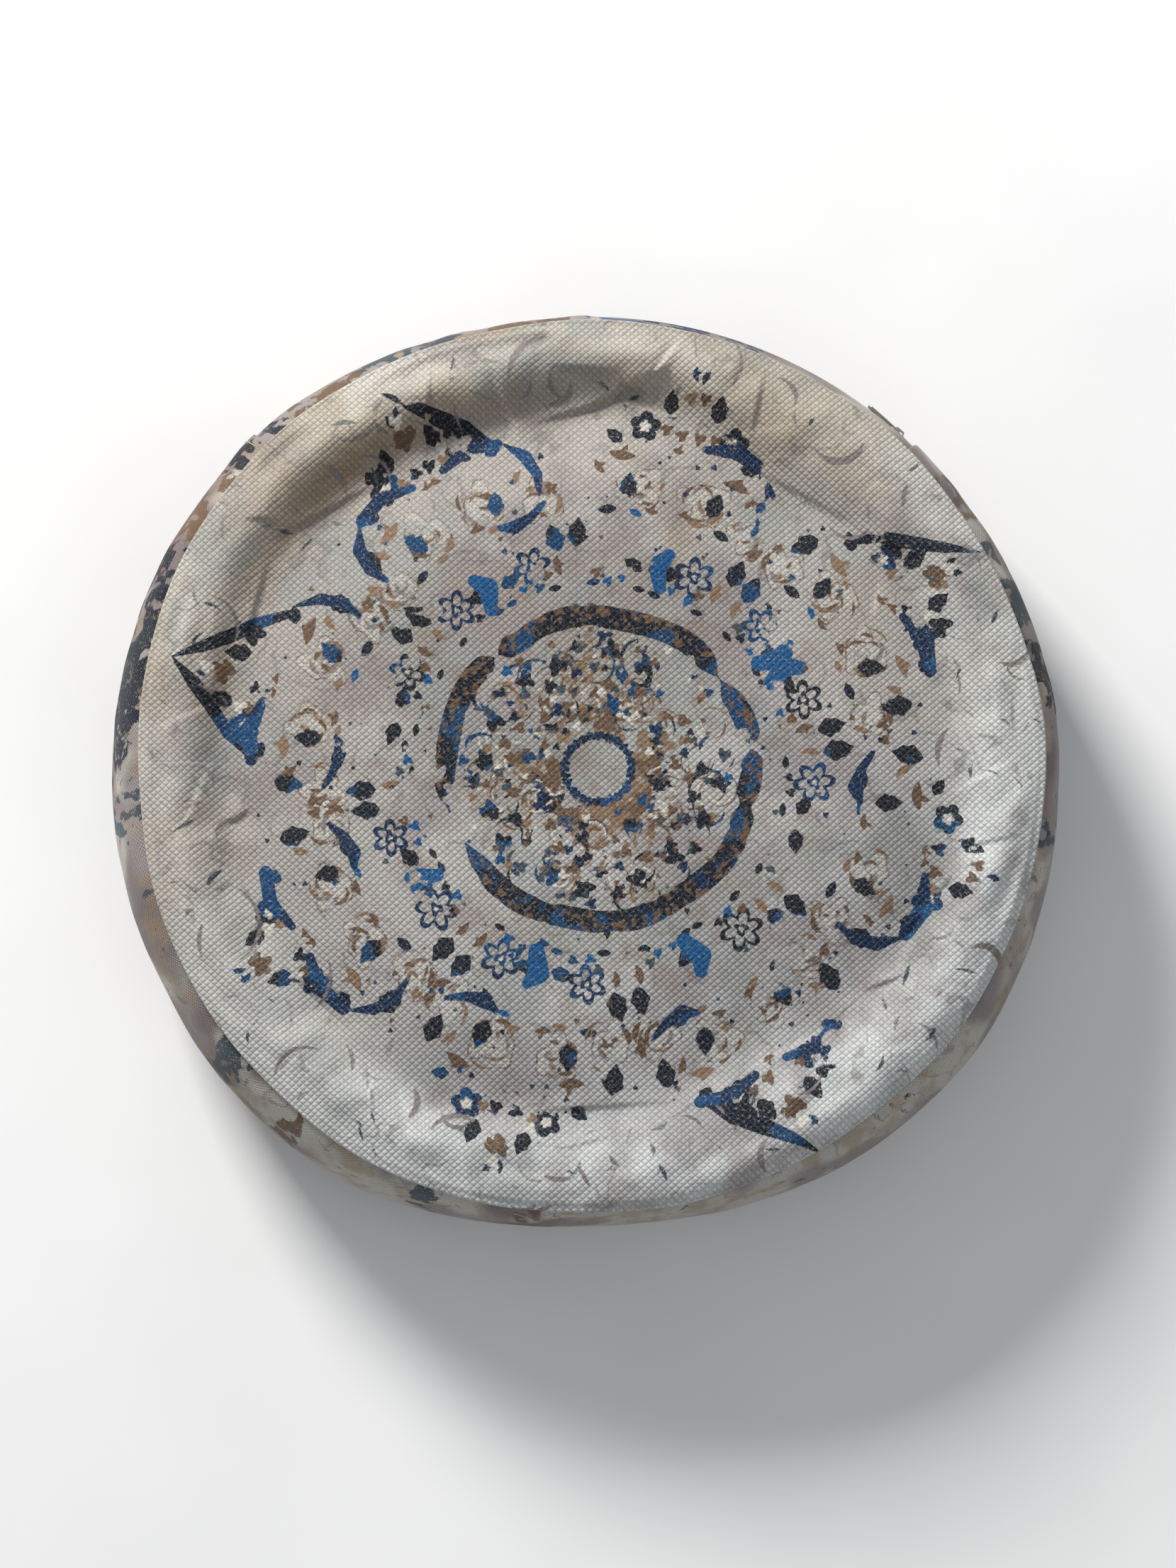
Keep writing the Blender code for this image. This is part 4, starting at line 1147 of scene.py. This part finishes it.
def cloth_material(
    name, groups, painted, pitch, relief, colour=(0.5, 0.5, 0.5), gap=0.25, sheen=0.03, rough=0.92
):
    """Woven cloth: a ground with worn ink or a plain colour, with painted shade between threads, the weave in
    relief.
    """
    material = bpy.data.materials.new(name)
    material.use_nodes = True
    w = Wiring(material.node_tree)
    shader = material.node_tree.nodes["Principled BSDF"]
    cloth = w.put("UVMap", uv_map="cloth").outputs[0]
    weave = w.put("Group", node_tree=groups["weave"])
    w.feed(weave.inputs["Vector"], cloth)
    weave.inputs["Pitch"].default_value = pitch
    hollow, thread = weave.outputs["Gap"], weave.outputs["Thread"]
    crumbs = w.noise(cloth, 900, 3.0, 0.65)
    patches = w.noise(cloth, 55, 3.0, 0.6)
    if painted:
        ground = w.put("VertexColor", layer_name="ground").outputs[0]
        ink = w.put("VertexColor", layer_name="ink")
        scroll = w.noise(cloth, 34, 2.0, 0.4)
        line = w.step(w.math("ABSOLUTE", w.math("SUBTRACT", scroll, 0.5)), 0.022, 0.008)
        ghost = w.math("MULTIPLY", w.math("MULTIPLY", line, w.step(patches, 0.45, 0.6)), 0.5)
        ground = w.blend(ghost, ground, (0.19, 0.18, 0.17, 1))
        worn = w.math("MULTIPLY", w.math("SUBTRACT", crumbs, 0.5), 0.95)
        cover = w.step(w.math("ADD", ink.outputs["Alpha"], worn), 0.40, 0.60)
        specks = w.step(w.noise(cloth, 620, 2.0, 0.6), 0.56, 0.66)
        bare = w.math("MAXIMUM", w.math("MULTIPLY", hollow, 0.10), w.math("MULTIPLY", specks, 0.45))
        cover = w.math("MULTIPLY", cover, w.math("SUBTRACT", 0.98, bare))
        # Less painted shade in the gaps where ink covers the ground
        gap = w.math("MULTIPLY", w.math("SUBTRACT", 1.0, cover), gap)
        base = w.blend(cover, ground, ink.outputs["Color"])
    else:
        base = w.blend(w.math("MULTIPLY", patches, 0.5), (*colour, 1), (*(0.8 * c for c in colour), 1))
    # Painted shade between the threads: the colour darkened in the weave's gaps
    shade = w.math("SUBTRACT", 1.0, w.math("MULTIPLY", hollow, gap))
    shade = w.math("MULTIPLY", shade, w.math("ADD", 0.72, w.math("MULTIPLY", thread, 0.56)))
    shade = w.math("MULTIPLY", shade, w.math("ADD", 0.93, w.math("MULTIPLY", crumbs, 0.14)))
    grey = w.put("CombineColor", shade, shade, shade).outputs[0]
    w.feed(shader.inputs["Base Color"], w.blend(1.0, base, grey, "MULTIPLY"))
    fuzz = w.math("MULTIPLY", w.noise(cloth, 2600, 2.0), 0.16)
    bump = w.put("Bump")
    bump.inputs["Distance"].default_value = relief
    w.feed(bump.inputs["Height"], w.math("ADD", weave.outputs["Height"], fuzz))
    w.feed(shader.inputs["Normal"], bump.outputs[0])
    w.feed(shader.inputs["Roughness"], w.math("SUBTRACT", rough, w.math("MULTIPLY", crumbs, 0.08)))
    shader.inputs["Sheen Weight"].default_value = sheen
    shader.inputs["Sheen Roughness"].default_value = 0.45
    shader.inputs["Specular IOR Level"].default_value = 0.12
    return material


def plain_material(name, colour, rough, metallic=0.0, scale=900.0, relief=0.00006, stretch=(1, 1, 1)):
    """A finish with fine grain, on the object's own coordinates, that varies its colour, gloss and relief."""
    material = bpy.data.materials.new(name)
    material.use_nodes = True
    w = Wiring(material.node_tree)
    shader = material.node_tree.nodes["Principled BSDF"]
    place = w.put("Mapping", w.put("TexCoord").outputs["Object"])
    place.inputs["Scale"].default_value = stretch
    grain = w.noise(place.outputs[0], scale, 3.0, 0.6)
    wide = w.noise(place.outputs[0], scale / 12, 2.0)
    share = w.math("MULTIPLY", w.math("ADD", grain, wide), 0.5)
    light, dark = ((*(level * c for c in colour), 1) for level in (1.12, 0.72))
    w.feed(shader.inputs["Base Color"], w.blend(share, light, dark))
    w.feed(shader.inputs["Roughness"], w.math("ADD", rough - 0.08, w.math("MULTIPLY", share, 0.16)))
    shader.inputs["Metallic"].default_value = metallic
    bump = w.put("Bump")
    bump.inputs["Distance"].default_value = relief
    w.feed(bump.inputs["Height"], grain)
    w.feed(shader.inputs["Normal"], bump.outputs[0])
    return material


# ---- Settings ----


def linear(red, green, blue):
    """A display colour from 0 to 255 as the linear light that Blender mixes."""
    return tuple(((c / 255 + 0.055) / 1.055) ** 2.4 for c in (red, green, blue))


def colour_setting(name, description, *rgb):
    return bpy.props.FloatVectorProperty(
        name=name, description=description, default=linear(*rgb), subtype="COLOR", size=3, min=0, max=1
    )


def length_setting(name, description, default, low, high):
    limits = {"min": low, "max": high}
    return bpy.props.FloatProperty(
        name=name, description=description, default=default, unit="LENGTH", **limits
    )


class CushionColours(bpy.types.PropertyGroup):
    """Dyes and finishes of the cushion."""

    cream: colour_setting("Cream", "Cover's ground at the back left", 194, 190, 180)
    pale: colour_setting("Pale", "Cover's ground at the front right", 200, 202, 201)
    mauve: colour_setting("Mauve", "Washes over the ground", 146, 139, 138)
    sage: colour_setting("Sage", "Green-grey washes over the ground", 150, 154, 150)
    beige: colour_setting("Beige", "Warm washes over the ground", 160, 144, 124)
    # Dusk also paints a ring of shade inside the top panel's valley
    dusk: colour_setting("Dusk", "Band's ground", 120, 108, 108)
    royal: colour_setting("Royal blue", "Arches, crescents and flowers", 0, 38, 72)
    navy: colour_setting("Navy", "Darker flowers and berries", 6, 22, 38)
    azure: colour_setting("Azure", "Lighter blue patches", 8, 80, 130)
    brown: colour_setting("Brown", "Roses", 98, 76, 58)
    tan: colour_setting("Tan", "Stipple and scrolls", 128, 104, 82)
    charcoal: colour_setting("Charcoal", "Leaves and the beaded ring", 14, 21, 34)
    slate: colour_setting("Slate", "Faded leaves", 56, 70, 78)
    olive: colour_setting("Olive", "Flecks of the border", 104, 110, 102)
    # Painted shade in the top panel's back left valley; on the band, a plain warm wash
    brown_wash_and_shade: colour_setting("Stain", "Warm shade of the back left valley", 150, 128, 100)
    mauve_ink: colour_setting("Grey mauve", "Curls of the border", 124, 117, 114)
    canvas: colour_setting("Canvas", "Plain cloth of the base", 196, 181, 158)
    tape: colour_setting("Tape", "Zip's tapes", 150, 134, 120)
    coil: colour_setting("Coil", "Zip's teeth", 136, 120, 108)
    nickel: colour_setting("Nickel", "Zip's slider, tab and stops", 188, 182, 172)
    thread: colour_setting("Thread", "Sewing thread", 190, 178, 158)
    casing: colour_setting("Casing", "Insert's casing", 228, 227, 222)


class CushionSizes(bpy.types.PropertyGroup):
    """Fineness and relief of the cushion."""

    face_steps: bpy.props.IntProperty(
        name="Face steps",
        description="Grid steps from the middle of the top panel to its seam",
        default=300,
        min=40,
        max=340,
    )
    band_step: length_setting("Band step", "Length of the band's grid cells", 0.0013, 0.0008, 0.01)
    canvas_pitch: length_setting("Canvas pitch", "Spacing of the top canvas's bumps", 0.0043, 0.001, 0.01)
    band_pitch: length_setting("Band pitch", "Spacing of the band cloth's bumps", 0.0024, 0.001, 0.01)
    relief: length_setting("Weave relief", "Height of the top canvas's bumps", 0.0005, 0, 0.002)


def settings():
    """The sizes, and the colours as plain tuples by name."""
    scene = bpy.context.scene
    names = CushionColours.__annotations__
    return scene.cushion_sizes, {name: tuple(getattr(scene.cushion_colours, name)) for name in names}


def groups():
    """The shared shader groups, each built once."""
    if "weave" not in bpy.data.node_groups:
        weave_group()
    return {"weave": bpy.data.node_groups["weave"]}


def finish_piece(piece, material, body="cushion", replaces=()):
    """Gives a piece its material, its body and the frame nodes that it stands for."""
    piece.data.materials.append(material)
    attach(piece, body)
    if replaces:
        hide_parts(*replaces)
    return {"FINISHED"}


# ---- Operators ----


class CUSHION_OT_stage(bpy.types.Operator):
    """Lays the floor and sets the lights and the camera"""

    bl_idname = "cushion.stage"
    bl_label = "Stage"

    def execute(self, context):
        scene = context.scene
        steps = np.linspace(-FLOOR_REACH, FLOOR_REACH, 9)
        x, y = (g.ravel() for g in np.meshgrid(steps, steps, indexing="ij"))
        floor = new_piece("floor", np.column_stack([x, y, x * 0 - 0.0002]), [grid_quads(9)])
        floor.data.materials.append(
            plain_material("floor_paint", (0.93, 0.93, 0.93), 0.85, scale=3.0, relief=0.0)
        )
        world = bpy.data.worlds.new("soft_daylight")
        world.use_nodes = True
        background = world.node_tree.nodes["Background"]
        background.inputs[0].default_value = (0.93, 0.96, 1.0, 1)
        background.inputs[1].default_value = 0.40
        scene.world = world
        for name, azimuth, elevation, distance, width, power, colour in (
            ("window", 122, 31, 4.5, 1.3, 270, (1.0, 0.985, 0.955)),
            ("wall", 318, 50, 3.0, 2.4, 6, (0.92, 0.96, 1.0)),
        ):
            light = bpy.data.lights.new(name, "AREA")
            light.energy, light.size, light.color = power, width, colour
            lamp = bpy.data.objects.new(name, light)
            a, e = math.radians(azimuth), math.radians(elevation)
            place = Vector((math.cos(a) * math.cos(e), math.sin(a) * math.cos(e), math.sin(e))) * distance
            lamp.location = place
            lamp.rotation_euler = (-place).to_track_quat("-Z", "Y").to_euler()
            scene.collection.objects.link(lamp)
        data = bpy.data.cameras.new("camera")
        data.sensor_width, data.lens = CAMERA_SENSOR, CAMERA_LENS
        data.clip_start, data.clip_end = 0.1, 100
        camera = bpy.data.objects.new("camera", data)
        aim = Vector((-0.0014, -0.0115, SEAM_HEIGHT))
        tilt = math.radians(CAMERA_TILT)
        view = Vector((0, -math.cos(tilt), math.sin(tilt)))
        camera.location = aim + view * (CAMERA_VIEW / CAMERA_SENSOR * CAMERA_LENS)
        camera.rotation_euler = (-view).to_track_quat("-Z", "Y").to_euler()
        scene.collection.objects.link(camera)
        scene.camera = camera
        scene.view_settings.view_transform = "Standard"
        return {"FINISHED"}


class CUSHION_OT_top(bpy.types.Operator):
    """Makes the printed top panel: a domed face with a valley inside its rim, and its edge turned in"""

    bl_idname = "cushion.top"
    bl_label = "Top panel"

    def execute(self, context):
        sizes, colours = settings()
        half = sizes.face_steps
        piece = panel_shell("cover_top", half, seam_outline, cover_height, 44)
        x, y, _ = coordinates(piece)
        put_print(piece, paint_medallion(x, y, colours), paint_ground(x, y, colours))
        material = cloth_material("top_canvas", groups(), True, sizes.canvas_pitch, sizes.relief)
        return finish_piece(piece, material, replaces=["top_panel"])


def strip_outline(angles, face, low, high, turned_low, turned_high, rows):
    """Radius and height of an upright strip of cloth, round its section, with turned-in ends as asked."""
    angle = angles[:, None]
    t = (1 - np.cos(np.linspace(0, np.pi, rows)))[None] / 2
    out_z = high + (low - high) * t
    inner_high = high - CLOTH if turned_high else high
    inner_low = low + CLOTH if turned_low else low
    in_z = inner_low + (inner_high - inner_low) * t[:, :: max(1, rows // 14)]
    radius, height = [face(angle, out_z)], [out_z]
    ends = np.array((0.25, 0.6, 1.0))[None] * ALLOWANCE
    if turned_low:
        edge = face(angle, low)
        radius += [edge - ends, edge - ends[:, ::-1]]
        height += [low + 0 * ends, low + CLOTH + 0 * ends]
    radius.append(face(angle, in_z) - CLOTH)
    height.append(in_z)
    if turned_high:
        edge = face(angle, high)
        radius += [edge - ends, edge - ends[:, ::-1]]
        height += [high - CLOTH + 0 * ends, high + 0 * ends]
    spread = lambda rows: np.concatenate([r + 0 * angle for r in rows], 1)
    return spread(radius), spread(height)


def dress_band(piece, material, replaces):
    """Prints a piece of the band, and finishes it."""
    x, y, z = coordinates(piece)
    along = np.radians((np.degrees(np.arctan2(y, x)) - 90) % 360 + 90) * BULGE_RADIUS
    put_print(piece, *paint_band(along, z, settings()[1]))
    return finish_piece(piece, material, replaces=replaces)


class CUSHION_OT_band(bpy.types.Operator):
    """Makes the side band, and the two strips that hold the zip between its ends"""

    bl_idname = "cushion.band"
    bl_label = "Band and zip strips"

    def execute(self, context):
        sizes, _ = settings()
        step = sizes.band_step
        material = cloth_material(
            "band_canvas", groups(), True, sizes.band_pitch, 0.0003, sheen=0.12, rough=0.8
        )
        start, end = 90 + ZIP_HALF_OPENING, 450 - ZIP_HALF_OPENING
        angles = np.linspace(start, end, round(math.radians(end - start) * BULGE_RADIUS / step))
        low, high = FOLD + GAP, band_top(angles)[:, None]
        outline = strip_outline(angles, side_face, low + 0 * high, high, True, True, round(0.118 / step))
        dress_band(swept("cover_band", angles, *outline), material, ["side_band"])
        inside = lambda angle, z: side_face(angle, z) - LAP
        half = ZIP_HALF_OPENING + LAP_ANGLE
        angles = np.linspace(90 - half, 90 + half, round(math.radians(2 * half) * BULGE_RADIUS / step))
        edge = on_zip(ZIP_EDGE, 0)[1] + 0 * angles[:, None]
        high = band_top(angles)[:, None] - CLOTH - GAP
        upper = strip_outline(angles, inside, edge, high, False, True, round(0.055 / step))
        dress_band(swept("zip_strip_upper", angles, *upper, rows=2), material, ["zip_panel_upper"])
        edge = on_zip(-ZIP_EDGE, 0)[1] + 0 * angles[:, None]
        low = FOLD + 2 * GAP + CLOTH + 0 * edge
        lower = strip_outline(angles, inside, low, edge, True, False, round(0.045 / step))
        return dress_band(swept("zip_strip_lower", angles, *lower, rows=2), material, ["zip_panel_lower"])


class CUSHION_OT_base(bpy.types.Operator):
    """Makes the flat base, plain canvas with its edge turned up"""

    bl_idname = "cushion.base"
    bl_label = "Base"

    def execute(self, context):
        sizes, colours = settings()
        soft = lambda x, y: (
            -0.0008 * np.clip(cloudy(x, y, 0.05, 61) - 0.5, 0, 1) * smooth(np.hypot(x, y), 0.2, 0.23)
        )
        half = 96
        piece = panel_shell("cover_base", half, base_outline, soft, 20, upside_down=True)
        material = cloth_material(
            "base_canvas", groups(), False, sizes.canvas_pitch, 0.0004, colours["canvas"]
        )
        return finish_piece(piece, material, replaces=["bottom_panel"])


class CUSHION_OT_zip(bpy.types.Operator):
    """Makes the zip's tapes and teeth, and gives the slider, tab and stops their metal"""

    bl_idname = "cushion.zip"
    bl_label = "Zip"

    def execute(self, context):
        _, colours = settings()
        tape = plain_material("zip_tape", colours["tape"], 0.85, scale=500, relief=0.0002, stretch=(1, 1, 5))
        half = ZIP_HALF_CHAIN + 1
        angles = np.linspace(90 - half, 90 + half, 300)
        for name, side, node in (("tape_upper", 1, "zip_tape_upper"), ("tape_lower", -1, "zip_tape_lower")):
            up = np.array((0.0008, 0.0040, 0.0075, 0.0110, 0.0148))
            z = on_zip(side * up, 0)[1]
            face = side_face(90 + 0 * z, z) - LAP + TAPE_OUT
            r, z = np.concatenate([face, (face - TAPE)[::-1]]), np.concatenate([z, z[::-1]])
            if side > 0:
                r, z = r[::-1], z[::-1]
            row = np.ones((len(angles), 1))
            piece = swept(name, angles, r * row, z * row, rows=1)
            finish_piece(piece, tape, replaces=[node])
        coil = plain_material("zip_coil", colours["coil"], 0.4, scale=1500)
        count = round(math.radians(2 * ZIP_HALF_CHAIN) * ZIP_RADIUS / TOOTH_PITCH)
        for name, side, node in (("teeth_upper", 1, "zip_coil_upper"), ("teeth_lower", -1, "zip_coil_lower")):
            thick = 0.00044
            far, near = COIL_OUTER - thick, COIL_INNER + thick
            across = np.array((far, far, 0.0022, 0.0013, near, near))
            out = COIL_OUT + np.array((thick, 0.0011, COIL_HEIGHT - thick, COIL_HEIGHT - thick, 0.0012, thick))
            tooth = rod(np.column_stack([0 * across, side * across, out]), thick, 5)
            shift = 0.25 * side * TOOTH_PITCH
            starts = np.linspace(90 - ZIP_HALF_CHAIN + 0.3, 90 + ZIP_HALF_CHAIN - 0.3, count)

            def places(points):
                radius, height = on_zip(points[:, 1], points[:, 2])
                turn = np.radians(starts)[:, None] + (points[:, 0] + shift)[None] / ZIP_RADIUS
                return np.stack([radius * np.cos(turn), radius * np.sin(turn), height + 0 * turn], -1)

            piece = repeated(name, tooth, places)
            finish_piece(piece, coil, replaces=[node])
        metal = plain_material(
            "zip_metal", colours["nickel"], 0.34, 1.0, scale=700, relief=0.00003, stretch=(1, 1, 4)
        )
        for node in (
            "zip_slider_body", "zip_pull_tab", "zip_top_stop_upper", "zip_top_stop_lower", "zip_bottom_stop"
        ):
            frame["nodes"][node].data.materials.clear()
            frame["nodes"][node].data.materials.append(metal)
        return {"FINISHED"}


class CUSHION_OT_stitches(bpy.types.Operator):
    """Sews the zip strips and the band's ends, and lays the thread of the two round seams"""

    bl_idname = "cushion.stitches"
    bl_label = "Stitches"

    def execute(self, context):
        _, colours = settings()
        thread = plain_material("thread", colours["thread"], 0.75, scale=2500, stretch=(1, 1, 2))
        long = np.linspace(-0.0013, 0.0013, 6)
        dip = 0.00030 - 0.00035 * (long / 0.0013) ** 4
        stitch = rod(np.column_stack([long, 0 * long, dip]), THREAD / 2, 5)
        spacing = math.degrees(0.0031 / ZIP_RADIUS)
        for name, side in (("zip_stitching_upper", 1), ("zip_stitching_lower", -1)):
            height = on_zip(side * (ZIP_EDGE + 0.0026), 0)[1]
            starts = np.arange(90 - ZIP_HALF_OPENING + 0.6, 90 + ZIP_HALF_OPENING - 0.6, spacing)

            def places(points):
                z = height + points[:, 1]
                radius = side_face(90 + 0 * z, z) - LAP + points[:, 2]
                turn = np.radians(starts)[:, None] + points[:, 0][None] / ZIP_RADIUS
                return np.stack([radius * np.cos(turn), radius * np.sin(turn), z + 0 * turn], -1)

            finish_piece(
                repeated("stitches_" + name[14:], stitch, places), thread, replaces=[name]
            )
        heights = np.arange(0.009, SEAM_HEIGHT - 0.008, 0.0031)
        for name, angle in (("band_joint_thread_left", 136.25), ("band_joint_thread_right", 43.75)):

            def places(points):
                z = heights[:, None] + points[:, 0][None]
                turn = np.radians(angle) + points[:, 1][None] / ZIP_RADIUS + 0 * z
                radius = side_face(angle + 0 * z, z) + points[:, 2][None]
                return np.stack([radius * np.cos(turn), radius * np.sin(turn), z], -1)

            finish_piece(
                repeated("stitches" + name[17:], stitch, places), thread, replaces=[name]
            )
        angles = np.linspace(0, 360, 360, endpoint=False)
        turn = np.radians(np.linspace(360, 0, 6, endpoint=False))[None]
        inset = CLOTH + GAP + THREAD / 2
        for name, radius, height in (
            ("top_seam_thread", seam_outline(angles) - inset, cover_edge(angles) - FOLD / 2),
            ("bottom_seam_thread", base_outline(angles) - inset, FOLD / 2 + 0 * angles),
        ):
            r = radius[:, None] + THREAD / 2 * np.cos(turn)
            z = height[:, None] + THREAD / 2 * np.sin(turn)
            piece = swept(name.replace("_thread", "_stitches"), angles, r, z, closed=True)
            finish_piece(piece, thread, replaces=[name])
        return {"FINISHED"}


def cover_edge(angle):
    """Height of the top panel's face where its edge starts to turn in."""
    return cover_height(*spot(seam_outline(angle) - FOLD / 2, angle))


class CUSHION_OT_insert(bpy.types.Operator):
    """Makes the filled insert, which follows the cover from inside"""

    bl_idname = "cushion.insert"
    bl_label = "Insert"

    def execute(self, context):
        _, colours = settings()
        half = 64
        share, angle = disc_grid(half)
        quads, rim = disc_quads(half)
        reach = seam_outline(angle) - ALLOWANCE - 0.006
        x, y = (share * reach * f(np.radians(angle)) for f in (np.cos, np.sin))
        top = np.column_stack([x, y, cover_height(x, y) - 2 * CLOTH - 0.0012])
        base = np.column_stack([0.985 * x, 0.985 * y, 0 * x + 2 * CLOTH])
        around = angle[rim]
        heights = np.linspace(1, 0, 22)
        high, low = band_top(around) - 2 * CLOTH - 0.0015, FOLD + 3 * CLOTH
        sides = []
        for s in heights:
            z = low + (high - low) * s
            r = side_face(around, z) - INSERT_SETBACK - 0.0015 * (2 * s - 1) ** 8
            sides.append(np.column_stack([*spot(r, around), z]))
        count = len(top)
        rings = [rim] + [count + k * len(rim) + np.arange(len(rim)) for k in range(len(sides))]
        bottom = count + len(sides) * len(rim)
        rings.append(bottom + rim)
        faces = [quads, ring_quads(np.array(rings)), (quads + bottom)[:, ::-1]]
        piece = new_piece("insert_pad", np.concatenate([top, *sides, base]), faces)
        material = plain_material("casing", colours["casing"], 0.9, scale=1200, relief=0.0001)
        layers = ["insert_top", "insert_band", "insert_bottom"]
        stands_for = [*layers, "insert_top_thread", "insert_bottom_thread", "insert_filling"]
        return finish_piece(piece, material, replaces=stands_for)


STEPS = (
    CUSHION_OT_stage,
    CUSHION_OT_top,
    CUSHION_OT_band,
    CUSHION_OT_base,
    CUSHION_OT_zip,
    CUSHION_OT_stitches,
    CUSHION_OT_insert,
)


class CUSHION_PT_sidebar(bpy.types.Panel):
    """Lists the cushion's pieces, sizes and colours"""

    bl_idname = "CUSHION_PT_sidebar"
    bl_label = "Round floor cushion"
    bl_space_type = "VIEW_3D"
    bl_region_type = "UI"
    bl_category = "Cushion"

    def draw(self, context):
        for step in STEPS:
            self.layout.operator(step.bl_idname)
        for group in (context.scene.cushion_sizes, context.scene.cushion_colours):
            column = self.layout.column(align=True)
            for name in group.__annotations__:
                column.prop(group, name)


CLASSES = (CushionColours, CushionSizes, *STEPS, CUSHION_PT_sidebar)


def register():
    for cls in CLASSES:
        bpy.utils.register_class(cls)
    bpy.types.Scene.cushion_colours = bpy.props.PointerProperty(type=CushionColours)
    bpy.types.Scene.cushion_sizes = bpy.props.PointerProperty(type=CushionSizes)


def unregister():
    del bpy.types.Scene.cushion_sizes
    del bpy.types.Scene.cushion_colours
    for cls in reversed(CLASSES):
        bpy.utils.unregister_class(cls)


def main():
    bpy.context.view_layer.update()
    register()
    for step in STEPS:
        part, name = step.bl_idname.split(".")
        getattr(getattr(bpy.ops, part), name)()


if __name__ == "__main__":
    main()
